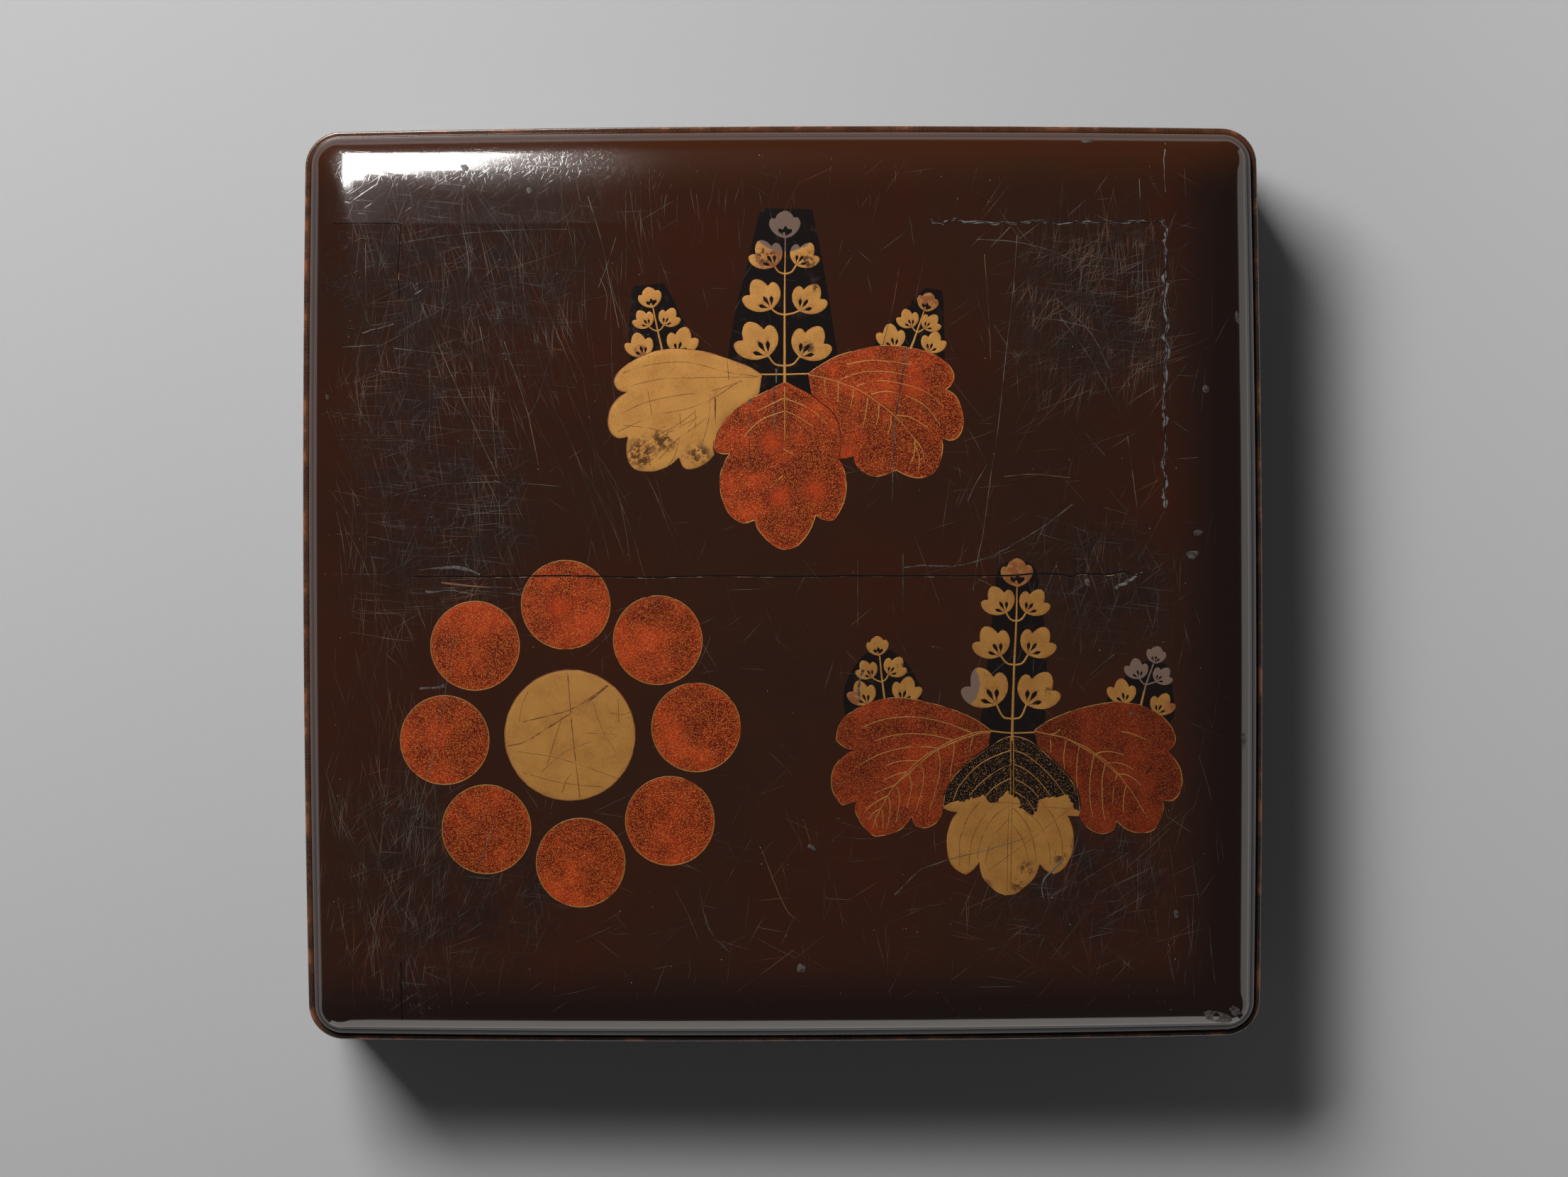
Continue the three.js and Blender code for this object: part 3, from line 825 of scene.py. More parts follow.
def laid_on_lid(tree, geometry, raised=0.0):
    """Puts every point on the lid's coat, as far above it as the point was above zero."""
    x, y, z = parts(tree, point_places(tree))
    coat = add_node(tree, "GeometryNodeObjectInfo", {"Object": lid_coat})
    ray = add_node(tree, "GeometryNodeRaycast", {"Target Geometry": coat.outputs["Geometry"],
                                                 "Source Position": xyz(tree, x, y, RAY_START),
                                                 "Ray Direction": (0, 0, -1), "Ray Length": 1.0})
    lift = xyz(tree, z=combine(tree, "ADD", z, raised))
    landed = vector_math(tree, "ADD", ray.outputs["Hit Position"], lift)
    return result(tree, "GeometryNodeSetPosition", {"Geometry": geometry, "Position": landed})


def end_nodes(tree, geometry, finish):
    whole = result(tree, "GeometryNodeRealizeInstances", {0: geometry})
    coated = result(tree, "GeometryNodeSetMaterial", {"Geometry": whole, "Material": finish})
    add_node(tree, "NodeGroupOutput", {0: coated})


def made_by(tree, name, source, **values):
    """Runs a geometry tree on the source and keeps the result as one plain mesh."""
    modifier = source.modifiers.new(tree.name, "NODES")
    modifier.node_group = tree
    for socket in tree.interface.items_tree:
        if socket.in_out == "INPUT" and socket.name in values:
            modifier[socket.identifier] = values[socket.name]
    bpy.context.view_layer.update()
    evaluated = source.evaluated_get(bpy.context.evaluated_depsgraph_get())
    mesh = bpy.data.meshes.new_from_object(evaluated)
    bpy.data.objects.remove(source)
    return put_in_scene(name, mesh)


def ride_on_lid(piece):
    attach(piece, "lid")


plate_nodes, given = new_nodes("plates_on_lid", Finish="Material")
end_nodes(plate_nodes, laid_on_lid(plate_nodes, given["Geometry"]), given["Finish"])


def lay(name, shapes, relief, finish):
    """Lays flat shapes on the lid as one thin piece, `relief` millimetres high."""
    piece = made_by(plate_nodes, name, plates(name, shapes, relief), Finish=finish)
    ride_on_lid(piece)


black_finish, tree = new_finish("fresh_black_lacquer")
place = place_in_piece(tree)
rubbed = rises(tree, clouds(tree, place, 5, detail=5), 0.55, 0.8)
colour = blend_colours(tree, times(tree, rubbed, 0.5), FRESH_BLACK, WARM_BROWN)
wave = bumped(tree, clouds(tree, place, 30, detail=2), 0.0003, 0.3)
surface(tree, Base_Color=colour, Roughness=blend_amounts(tree, rubbed, 0.2, 0.4), Specular_IOR_Level=0.25,
        Normal=wave, Coat_Weight=0.8, Coat_Roughness=0.08)

UPPER_GROUNDS = (
    [[(936, 399)], [(950, 423), (960, 445), (974, 468), (983, 485)], [(1010, 530), (880, 530)],
     [(889, 504), (887, 461), (890, 435), (891, 411), (895, 403)]],
    [[(1146, 295)], [(1157, 350), (1170, 425), (1182, 503)], [(1180, 540), (1141, 560)],
     [(1107, 545), (1070, 565)], [(1035, 540), (1027, 502)],
     [(1030, 481), (1035, 452), (1043, 414), (1052, 382), (1061, 342), (1071, 302), (1078, 293)]],
    [[(1327, 409)], [(1330, 413), (1332, 450), (1333, 508)], [(1330, 525), (1225, 515)],
     [(1233, 487), (1243, 469), (1255, 457), (1271, 443), (1281, 432), (1292, 418), (1305, 406)]],
)
lay("upper_crest_black_grounds", [[lobed(lobes)] for lobes in UPPER_GROUNDS], GROUND_RELIEF, black_finish)

# Leaves of the upper crest. The left one is solid gold powder, rubbed through to brown at its lower lobes.
# The middle and right ones are nashiji: gold flakes sunk in clear orange-brown lacquer.

LEAF_RELIEF = 0.09
GOLD = (0.425, 0.200, 0.041, 1)
GOLD_DEEP = (0.300, 0.124, 0.021, 1)
RUBBED_BROWN = (0.040, 0.016, 0.009, 1)
WORN_GREY = (0.115, 0.076, 0.060, 1)
ORANGE_RIM = (0.20, 0.060, 0.017, 1)
NASHIJI_GROUND = (0.072, 0.0060, 0.0018, 1)
NASHIJI_BRIGHT = (0.31, 0.031, 0.007, 1)
NASHIJI_FLAKE = (0.62, 0.165, 0.032, 1)
# A dark brown for the nashiji's dark mottles and for its painted shade
NASHIJI_DARK_AND_SHADE = (0.020, 0.0040, 0.0030, 1)
FLAKE_PITCH = 0.34


def near(tree, place, picture_point, reach, softness=0.3, ragged=0.0):
    """1 within `reach` pixels of a point measured in the photograph and 0 further out."""
    centre = metres(*on_lid(picture_point), 0)
    away = vector_math(tree, "DISTANCE", vector_math(tree, "MULTIPLY", place, (1, 1, 0)), centre)
    reach *= MILLIMETRE / PIXELS_PER_MM
    if ragged:
        away = combine(tree, "MULTIPLY_ADD", clouds(tree, place, 2.5, detail=5), ragged * reach, away)
    return rises(tree, away, reach * (1 + softness), reach * (1 - softness))


def any_near(tree, place, spots, **how):
    total = 0.0
    for picture_point, reach in spots:
        total = combine(tree, "MAXIMUM", near(tree, place, picture_point, reach, **how), total)
    return total


def gold_powder(name, rubbed=(), greyed=(), orange=(), tone=1.0):
    """Burnished gold powder. The spots say where it is rubbed to the brown, lost to grey or worn to orange.
    The lower its `tone`, the darker the powder: painted shade for gold that lies further from the lamp."""
    finish, tree = new_finish(name)
    place = place_in_piece(tree)
    grain = clouds(tree, place, 0.5, detail=2)
    cloudy = blend_amounts(tree, 0.5, clouds(tree, place, 9, detail=5), grain)
    light, deep = (tuple(tone * part for part in gold[:3]) + (1,) for gold in (GOLD, GOLD_DEEP))
    colour = blend_colours(tree, rises(tree, cloudy, 0.3, 0.62), deep, light)
    specks = rises(tree, clouds(tree, place, 1.6, detail=6), 0.70, 0.76)
    rim = attribute(tree, "rim")
    edge = times(tree, rises(tree, rim, 0.35, 1.0), rises(tree, clouds(tree, place, 4), 0.46, 0.6))
    colour = blend_colours(tree, times(tree, edge, 0.75), colour, ORANGE_RIM)
    patchy = rises(tree, clouds(tree, place, 3.0, detail=8, roughness=0.70), 0.46, 0.52)
    if orange:
        worn = times(tree, any_near(tree, place, orange), blend_amounts(tree, patchy, 0.35, 1.0))
        colour = blend_colours(tree, worn, colour, ORANGE_RIM)
    lost = specks
    if rubbed:
        worn = times(tree, any_near(tree, place, rubbed, softness=0.35, ragged=0.8), patchy)
        lost = combine(tree, "MAXIMUM", lost, worn)
    colour = blend_colours(tree, times(tree, lost, 0.9), colour, RUBBED_BROWN)
    if greyed:
        grey = any_near(tree, place, greyed, softness=0.03, ragged=0.08)
        colour = blend_colours(tree, grey, colour, WORN_GREY)
        lost = combine(tree, "MAXIMUM", lost, grey)
    surface(tree, Base_Color=colour, Metallic=blend_amounts(tree, lost, 0.45, 0.0),
            Roughness=blend_amounts(tree, lost, 0.5, 0.42), Normal=bumped(tree, grain, 0.00004, 0.6),
            Specular_IOR_Level=blend_amounts(tree, lost, 0.5, 0.06), Coat_Weight=0.12, Coat_Roughness=0.18)
    return finish


def nashiji(name, glows, depth=0.0, shine=0.72):
    """Gold flakes under orange-brown lacquer. `glows` are spots where the lacquer is worn thin and shines,
    `shine` is how bright the rest gets, raised as painted light nearer the lamp, and `depth` how much painted
    shade darkens it further from the lamp, from 0 to 1."""
    finish, tree = new_finish(name)
    place = place_in_piece(tree)
    deep = blend_amounts(tree, 0.4, clouds(tree, place, 38, detail=3), clouds(tree, place, 9, detail=4))
    bright = rises(tree, deep, 0.42, 0.68)
    rim = attribute(tree, "rim")
    edge = times(tree, rim, rises(tree, clouds(tree, place, 24), 0.38, 0.62))
    bright = combine(tree, "MAXIMUM", bright, times(tree, edge, 0.9))
    glow = any_near(tree, place, glows, softness=0.8, ragged=0.9)
    bright = combine(tree, "MAXIMUM", times(tree, bright, shine), times(tree, glow, 0.9))
    colour = blend_colours(tree, bright, NASHIJI_GROUND, NASHIJI_BRIGHT)
    cells = add_node(tree, "ShaderNodeTexVoronoi", {"Vector": place, "Scale": 1000 / FLAKE_PITCH},
                     voronoi_dimensions="2D")
    chance = parts(tree, cells.outputs["Color"])
    flake = times(tree, rises(tree, cells.outputs["Distance"], 0.44, 0.28),
                  rises(tree, chance[0], 0.54, 0.50), blend_amounts(tree, chance[1], 0.25, 1.0),
                  blend_amounts(tree, glow, 1.0, 0.35))
    dark = rises(tree, clouds(tree, place, 6, detail=5), 0.60, 0.74)
    colour = blend_colours(tree, times(tree, dark, 0.55), colour, NASHIJI_DARK_AND_SHADE)
    colour = blend_colours(tree, flake, colour, NASHIJI_FLAKE)
    # Painted shade: the whole nashiji is darkened by its depth
    if depth:
        colour = blend_colours(tree, depth, colour, NASHIJI_DARK_AND_SHADE)
    bump = bumped(tree, clouds(tree, place, 3, detail=3), 0.00006, 0.3)
    surface(tree, Base_Color=colour, Roughness=0.34, Specular_IOR_Level=0.15, Normal=bump, Coat_Weight=0.35,
            Coat_Roughness=0.10, Coat_Normal=bump)
    return finish


UPPER_LEFT_LEAF = [
    [(1057, 517), (1025, 505), (996, 496), (966, 492), (941, 492), (920, 496), (901, 504), (884, 514),
     (872, 525), (866, 536), (868, 545), (874, 551), (884, 553)],
    [(872, 561), (862, 574), (858, 588), (858, 601), (863, 612), (872, 618), (886, 616)],
    [(884, 626), (884, 639), (887, 652), (894, 661), (903, 664), (920, 665), (935, 661), (947, 655),
     (958, 645)],
    [(961, 654), (966, 661), (975, 662), (987, 658), (1000, 650), (1008, 641)],
    [(1006, 632), (1008, 619), (1019, 599), (1030, 584), (1050, 570), (1071, 555)],
    [(1075, 528)],
]
UPPER_MIDDLE_LEAF = [
    [(1090, 547), (1071, 557), (1047, 569), (1028, 586), (1014, 604), (1007, 626), (1009, 636),
     (1019, 640), (1030, 640)],
    [(1022, 652), (1016, 671), (1016, 689), (1020, 708), (1028, 724), (1039, 734), (1050, 738),
     (1066, 733)],
    [(1068, 744), (1078, 757), (1092, 770), (1107, 775), (1123, 771), (1137, 757), (1146, 741),
     (1151, 726)],
    [(1159, 732), (1175, 734), (1184, 722), (1191, 706), (1194, 687), (1192, 668), (1188, 656),
     (1183, 648)],
    [(1186, 620), (1180, 592), (1169, 577), (1156, 567), (1144, 557), (1127, 548), (1108, 538)],
]
UPPER_RIGHT_LEAF = [
    [(1156, 516), (1179, 503), (1205, 495), (1236, 488), (1267, 488), (1295, 492), (1318, 500),
     (1335, 511), (1344, 523), (1346, 532), (1342, 543), (1334, 549)],
    [(1347, 557), (1355, 572), (1359, 588), (1358, 604), (1352, 616), (1342, 621), (1329, 618)],
    [(1330, 630), (1328, 645), (1323, 659), (1314, 669), (1300, 674), (1283, 672), (1264, 663)],
    [(1250, 669), (1236, 672), (1222, 668), (1212, 661), (1206, 652), (1205, 643)],
    [(1194, 646), (1184, 647)],
    [(1187, 620), (1181, 591), (1170, 576), (1157, 566), (1145, 556)],
    [(1140, 527)],
]
leaf_gold = gold_powder("gold_of_the_upper_leaf",
                        rubbed=(((905, 640), 34), ((935, 622), 26), ((985, 642), 26)))
lay("upper_crest_gold_leaf", [[lobed(UPPER_LEFT_LEAF)]], LEAF_RELIEF, leaf_gold)
# shine 0.88 is painted light: the upper leaves lie nearer the lamp and are painted brighter
upper_nashiji = nashiji("nashiji_of_the_upper_leaves",
                        glows=(((1149, 692), 22), ((1196, 639), 20), ((1090, 625), 24), ((1290, 545), 24),
                               ((1100, 700), 20)), shine=0.88)
lay("upper_crest_nashiji_leaves", [[lobed(UPPER_MIDDLE_LEAF)], [lobed(UPPER_RIGHT_LEAF)]], LEAF_RELIEF,
    upper_nashiji)

# Flowers and stems of the upper crest. Each flower is a brushed and sprinkled floret with three slits left
# open to the black, and stems, side twigs and leaf veins are single brush lines of the same gold.

FLORET_RELIEF = 0.06
LINE_RELIEF = 0.11
SLIT_FOOT = 5.5
SLIT_WIDTH = 3.0
SLIT_STEPS = 6
LINE_SIDES = 6
LEANING_LOBES = [
    [(-16, 2.6), (-28, 9.3), (-36.3, 19.7), (-38.8, 30.5), (-36.4, 37), (-30, 38.6), (-22.9, 36.2)],
    [(-19.2, 46.8), (-12.3, 55), (-4.8, 56.6), (3.8, 50.8), (8.5, 42.8), (10.3, 37.3)],
    [(15.8, 40.2), (21.3, 39.4), (25.5, 32.6), (25.2, 22.2), (20.3, 12.1), (11.8, 4.8), (0, 0)],
]
LEANING_SLITS = ((139, 22.9), (99, 25.8), (68, 22.4))
LEANING_TIP = math.radians(94.8)
UPRIGHT_LOBES = [
    [(-12, 4), (-20, 11), (-24.9, 21), (-22, 30), (-15.8, 29.7)],
    [(-12, 36.5), (-0.5, 42), (8.5, 37.5), (12.4, 31.8)],
    [(18, 32), (22.4, 24.4), (19, 13), (10, 4), (0, 0)],
]
UPRIGHT_SLITS = ((124, 18), (90, 19), (58, 17))
UPRIGHT_TIP = math.radians(90.7)


def slit(degrees, length):
    """A teardrop cut that starts at the floret's foot and is widest near its outer end."""
    along = Vector((math.cos(math.radians(degrees)), math.sin(math.radians(degrees))))
    across = Vector((-along.y, along.x))
    left, right = [], []
    for step in range(SLIT_STEPS + 1):
        part = step / SLIT_STEPS
        centre = along * (SLIT_FOOT + (length - SLIT_FOOT) * part)
        half = SLIT_WIDTH * math.sin(math.pi * part ** 1.8)
        left.append((centre + across * half) / PIXELS_PER_MM)
        right.append((centre - across * half) / PIXELS_PER_MM)
    return left + right[-2:0:-1]


def floret(name, lobes, slits, side=1):
    """One flower with its foot at the origin. Side -1 gives its mirror image."""
    def own_place(point):
        return Vector((side * point[0], point[1])) / PIXELS_PER_MM

    holes = [slit(90 + side * (degrees - 90), length) for degrees, length in slits]
    return plates(name, [[lobed(lobes, own_place), *holes]], FLORET_RELIEF)


floret_kinds = {
    "left": (floret("floret_left", LEANING_LOBES, LEANING_SLITS), LEANING_TIP),
    "right": (floret("floret_right", LEANING_LOBES, LEANING_SLITS, side=-1), math.pi - LEANING_TIP),
    "upright": (floret("floret_upright", UPRIGHT_LOBES, UPRIGHT_SLITS), UPRIGHT_TIP),
}


def carried(tree, *labels):
    """The numbers that points carry, by their names."""
    return {label: result(tree, "GeometryNodeInputNamedAttribute", {"Name": label}) for label in labels}


floret_nodes, given = new_nodes("florets_on_stems", Finish="Material")
tree = floret_nodes
shelf = add_node(tree, "GeometryNodeJoinGeometry")
for unit, _ in reversed(floret_kinds.values()):
    drawn = add_node(tree, "GeometryNodeObjectInfo", {"Object": unit, "As Instance": True})
    tree.links.new(drawn.outputs["Geometry"], shelf.inputs[0])
own = carried(tree, "size", "turn", "kind")
grown = result(tree, "GeometryNodeInstanceOnPoints",
               {"Points": given["Geometry"], "Instance": shelf.outputs[0], "Pick Instance": True,
                "Instance Index": own["kind"], "Rotation": xyz(tree, z=own["turn"]),
                "Scale": xyz(tree, own["size"], own["size"], 1.0)})
whole = result(tree, "GeometryNodeRealizeInstances", {0: grown})
end_nodes(tree, laid_on_lid(tree, whole), given["Finish"])


def florets(name, flowers, finish):
    """Flowers as (kind, foot, tip, size), where size 1 is the largest flower of the upper crest."""
    feet = [on_lid(foot) for _, foot, _, _ in flowers]
    values = {"size": [], "turn": [], "kind": []}
    for (kind, _, tip, size), foot in zip(flowers, feet):
        towards = on_lid(tip) - foot
        values["size"].append(size)
        values["turn"].append(math.atan2(towards.y, towards.x) - floret_kinds[kind][1])
        values["kind"].append(float(list(floret_kinds).index(kind)))
    mesh = new_mesh(name, [metres(foot.x, foot.y, 0) for foot in feet], [], [])
    give_values(mesh, "POINT", **values)
    ride_on_lid(made_by(floret_nodes, name, put_in_scene(name, mesh), Finish=finish))


brush_nodes, given = new_nodes("brushed_lines", Step="Float", Waver="Float", Flatness="Float", Height="Float",
                               Worn="Float", Finish="Material")
tree = brush_nodes
path = result(tree, "GeometryNodeMeshToCurve", {"Mesh": given["Geometry"]})
path = result(tree, "GeometryNodeResampleCurve", {"Curve": path, "Length": given["Step"]}, mode="LENGTH")
place = point_places(tree)
shiver = add_node(tree, "ShaderNodeTexNoise", {"Vector": place, "Scale": 260.0, "Detail": 2.0})
centred = vector_math(tree, "SUBTRACT", shiver.outputs["Color"], (0.5, 0.5, 0.5))
offset = result(tree, "ShaderNodeVectorMath", {0: centred, "Scale": given["Waver"]}, operation="SCALE")
path = result(tree, "GeometryNodeSetPosition", {"Geometry": path, "Offset": offset})
patch = add_node(tree, "ShaderNodeTexNoise", {"Vector": place, "Scale": 140.0, "Detail": 3.0})
left_over = result(tree, "ShaderNodeMapRange",
                   {"Value": patch.outputs["Fac"], "From Min": given["Worn"],
                    "From Max": combine(tree, "ADD", given["Worn"], 0.08), "To Min": 0.12, "To Max": 1.0})
profile = result(tree, "GeometryNodeCurvePrimitiveCircle", {"Resolution": LINE_SIDES, "Radius": 1.0})
half_width = times(tree, carried(tree, "half_width")["half_width"], left_over)
drawn = result(tree, "GeometryNodeCurveToMesh", {"Curve": path, "Profile Curve": profile, "Fill Caps": True,
                                                 "Scale": half_width})
pressed = vector_math(tree, "MULTIPLY", point_places(tree), xyz(tree, 1.0, 1.0, given["Flatness"]))
drawn = result(tree, "GeometryNodeSetPosition", {"Geometry": drawn, "Position": pressed})
end_nodes(tree, laid_on_lid(tree, drawn, raised=given["Height"]), given["Finish"])


def stroke(points, width, end_width=None):
    """A smooth brush line through points of the photograph, with its widths there in pixels."""
    return through([on_lid(point) for point in points]), width, end_width or width


def brush(name, lines, finish, slot, height, step, waver, flatness, worn):
    piece = made_by(brush_nodes, name, lines, Step=step * MILLIMETRE, Waver=waver * MILLIMETRE,
                    Flatness=flatness, Height=height * MILLIMETRE, Worn=worn, Finish=finish)
    piece.data.shade_smooth()
    ride_on_lid(piece)


def brushed(name, strokes, finish, slot, height=LINE_RELIEF, step=1.2, waver=0.12, flatness=0.25, worn=0.0):
    """Brush lines as one piece. Sizes are millimetres, and `worn` is about the share that is worn away."""
    vertices, edges, widths = [], [], []
    for points, width, end_width in strokes:
        first = len(vertices)
        vertices += [metres(point.x, point.y, 0) for point in points]
        edges += [(first + i, first + i + 1) for i in range(len(points) - 1)]
        for i in range(len(points)):
            here = width + (end_width - width) * i / (len(points) - 1)
            widths.append(here / 2 / PIXELS_PER_MM * MILLIMETRE)
    mesh = new_mesh(name, vertices, edges, [])
    give_values(mesh, "POINT", half_width=widths)
    brush(name, put_in_scene(name, mesh), finish, slot, height, step, waver, flatness, worn)


def twigs(joins, width=2.8):
    """Side twigs that leave a flower's foot and sweep into the stem."""
    return [stroke([foot, (foot[0] + 0.42 * (stem[0] - foot[0]), stem[1] - 2.4), stem], width)
            for foot, stem in joins]


def closed(outline, width):
    return outline + outline[:1], width, width


UPPER_FLOWERS = [
    ("upright", (1108, 336), (1108, 294), 0.94), ("left", (1093, 376), (1072, 338), 0.76),
    ("right", (1123, 374), (1143, 343), 0.67), ("left", (1089, 436), (1067, 397), 0.86),
    ("right", (1128, 439), (1152, 399), 0.80), ("left", (1084, 503), (1056, 454), 1.0),
    ("right", (1128, 504), (1155, 462), 0.92),
    ("upright", (921, 434), (914, 405), 0.72), ("left", (916, 461), (902, 439), 0.49),
    ("right", (936, 459), (949, 435), 0.50), ("left", (909, 503), (900, 474), 0.63),
    ("right", (955, 499), (964, 466), 0.70),
    ("upright", (1305, 439), (1314, 411), 0.66), ("left", (1287, 462), (1277, 434), 0.50),
    ("right", (1304, 464), (1319, 446), 0.47), ("left", (1262, 492), (1257, 461), 0.64),
    ("right", (1310, 497), (1317, 477), 0.56),
]
UPPER_STEMS = [
    stroke([(1107, 540), (1107, 480), (1107, 420), (1108, 334)], 4.6, 1.8),
    stroke([(1074, 528), (1107, 528), (1141, 527)], 2.4),
    stroke([(934, 493), (928, 467), (921, 433)], 3.4, 2.0),
    stroke([(1285, 492), (1294, 467), (1304, 438)], 3.6, 2.0),
    *twigs([((1093, 376), (1107, 386)), ((1123, 374), (1108, 386)), ((1089, 436), (1107, 444)),
            ((1128, 438), (1107, 444)), ((1084, 502), (1106, 516)), ((1128, 503), (1107, 516))]),
    *twigs([((916, 461), (927, 467)), ((936, 459), (927, 467)), ((1287, 461), (1294, 468)),
            ((1303, 464), (1294, 469))], width=2.2),
]
flower_gold = gold_powder("gold_of_the_upper_flowers",
                          rubbed=(((1078, 358), 22), ((1140, 366), 18), ((1140, 490), 14), ((1148, 405), 10)),
                          greyed=(((1107, 300), 57),),
                          orange=(((1308, 425), 20), ((1088, 366), 20), ((903, 495), 9)))
florets("upper_crest_flowers", UPPER_FLOWERS, flower_gold)
brushed("upper_crest_stems", UPPER_STEMS, flower_gold, "gold_makie", height=FLORET_RELIEF)

# Veins and outlines of the upper leaves. On the nashiji they are fine gold lines, thin from wear. On the
# solid gold leaf they are hairlines scored through to the brown.

UPPER_VEINS = [
    [(1107, 545), (1107, 580), (1107, 621)], [(1106, 562), (1088, 570), (1068, 580)],
    [(1106, 580), (1078, 590), (1060, 604), (1047, 619)], [(1108, 580), (1123, 586), (1146, 601)],
    [(1108, 562), (1142, 576), (1167, 598)], [(1105, 633), (1120, 642)], [(1104, 671), (1087, 688)],
    [(1140, 528), (1166, 534), (1189, 541), (1212, 550), (1236, 566), (1266, 590), (1291, 620)],
    [(1186, 535), (1205, 528), (1224, 524), (1260, 525), (1288, 532)],
    [(1209, 544), (1238, 537), (1271, 541), (1307, 553), (1331, 573)],
    [(1229, 556), (1250, 552), (1278, 558), (1307, 574), (1327, 600)],
    [(1264, 586), (1283, 588), (1309, 603)], [(1194, 514), (1231, 508), (1287, 514)],
    [(1163, 535), (1165, 557)], [(1183, 540), (1182, 567)], [(1204, 549), (1203, 560), (1200, 575)],
    [(1224, 561), (1222, 580), (1217, 604)], [(1240, 570), (1240, 582), (1236, 600)],
    [(1257, 586), (1257, 598), (1252, 613)], [(1291, 620), (1290, 640), (1284, 655)],
    [(1291, 620), (1301, 634), (1304, 652)], [(1290, 626), (1297, 645), (1296, 664)],
]
GOLD_LEAF_HAIRLINES = [
    [(1070, 531), (1026, 525), (978, 512), (943, 511), (909, 516), (878, 526)],
    [(1067, 532), (1019, 532), (978, 533), (936, 534), (898, 542), (878, 547)],
    [(1047, 537), (1002, 552), (960, 557), (909, 568), (874, 585)],
    [(1043, 538), (1005, 562), (971, 576), (923, 586), (871, 609)],
    [(1033, 544), (991, 573), (954, 600), (909, 624), (892, 645)],
    [(1012, 552), (981, 590), (954, 621), (930, 647)], [(1002, 555), (1000, 590), (992, 621), (982, 648)],
    [(959, 583), (960, 611), (952, 642), (941, 660)], [(980, 576), (981, 600), (971, 628), (958, 650)],
    [(914, 552), (921, 592)], [(1026, 507), (1028, 536)], [(886, 648), (940, 612), (992, 585)],
    [(900, 655), (950, 624), (999, 588)], [(880, 600), (925, 606), (958, 628)],
]
vein_gold = gold_powder("gold_of_the_lines")
upper_outlines = [(lobed(UPPER_MIDDLE_LEAF)[:-7 * OUTLINE_STEPS], 1.5, 1.5),
                  (lobed(UPPER_RIGHT_LEAF)[:-8 * OUTLINE_STEPS], 1.5, 1.5)]
brushed("upper_crest_outlines", upper_outlines, vein_gold, "gold_makie", worn=0.46)
brushed("upper_crest_veins", [stroke(points, 1.7, 1.0) for points in UPPER_VEINS], vein_gold, "gold_makie",
        worn=0.36)
hairline_finish, tree = new_finish("scored_hairlines")
place = place_in_piece(tree)
colour = blend_colours(tree, rises(tree, clouds(tree, place, 4), 0.35, 0.65), (0.060, 0.022, 0.009, 1),
                       (0.17, 0.068, 0.022, 1))
surface(tree, Base_Color=colour, Roughness=0.6, Specular_IOR_Level=0.1)
leaf_hairlines = [stroke(points, 0.75) for points in GOLD_LEAF_HAIRLINES]
leaf_hairlines += [stroke([(1009, 562), (1009, 597)], 2.2), closed(lobed(UPPER_LEFT_LEAF), 1.0)]
brushed("upper_crest_hairlines", leaf_hairlines, hairline_finish, "gold_makie", waver=0.2, flatness=0.1,
        height=LEAF_RELIEF, worn=0.40)

# Crest at the lower right, the same plant once more. Its left and right leaves are nashiji with gold veins.
# The middle leaf is gold below and black above, with a ragged border, and gold flakes lie loose on the black.

LOWER_GROUNDS = (
    [[(1458, 798), (1466, 822), (1472, 870), (1477, 925), (1476, 985), (1474, 1020), (1466, 1060)],
     [(1428, 1045), (1390, 1062)],
     [(1384, 1020), (1388, 985), (1394, 925), (1400, 870), (1404, 822), (1412, 798), (1434, 788)]],
    [[(1222, 921), (1208, 936), (1197, 955), (1190, 978), (1192, 1008)], [(1250, 1000), (1303, 998)],
     [(1298, 972), (1288, 948), (1274, 930), (1258, 918), (1240, 914)]],
    [[(1614, 934), (1600, 940), (1588, 955), (1564, 982), (1560, 1000)], [(1600, 1004), (1650, 1022)],
     [(1658, 1005), (1656, 985), (1653, 960), (1648, 940), (1632, 930)]],
)
lay("lower_crest_black_grounds", [[lobed(lobes)] for lobes in LOWER_GROUNDS], GROUND_RELIEF, black_finish)

LOWER_LEFT_LEAF = [
    [(1387, 1022), (1374, 1014), (1355, 1005), (1332, 997), (1310, 991), (1287, 986), (1267, 984),
     (1253, 985), (1236, 988), (1220, 994), (1205, 1002), (1192, 1011), (1184, 1022), (1181, 1034),
     (1180, 1044), (1186, 1050), (1194, 1055), (1209, 1059)],
    [(1198, 1061), (1186, 1071), (1177, 1082), (1173, 1097), (1174, 1113), (1179, 1125), (1188, 1136)],
    [(1208, 1130)],
    [(1206, 1142), (1211, 1154), (1218, 1166), (1233, 1180)],
    [(1250, 1178), (1267, 1172), (1280, 1161), (1287, 1150)],
    [(1288, 1159), (1294, 1166), (1303, 1168), (1315, 1165), (1324, 1157), (1330, 1146)],
    [(1331, 1121), (1337, 1107), (1346, 1093), (1358, 1081), (1373, 1067), (1394, 1053)],
    [(1399, 1031)],
]
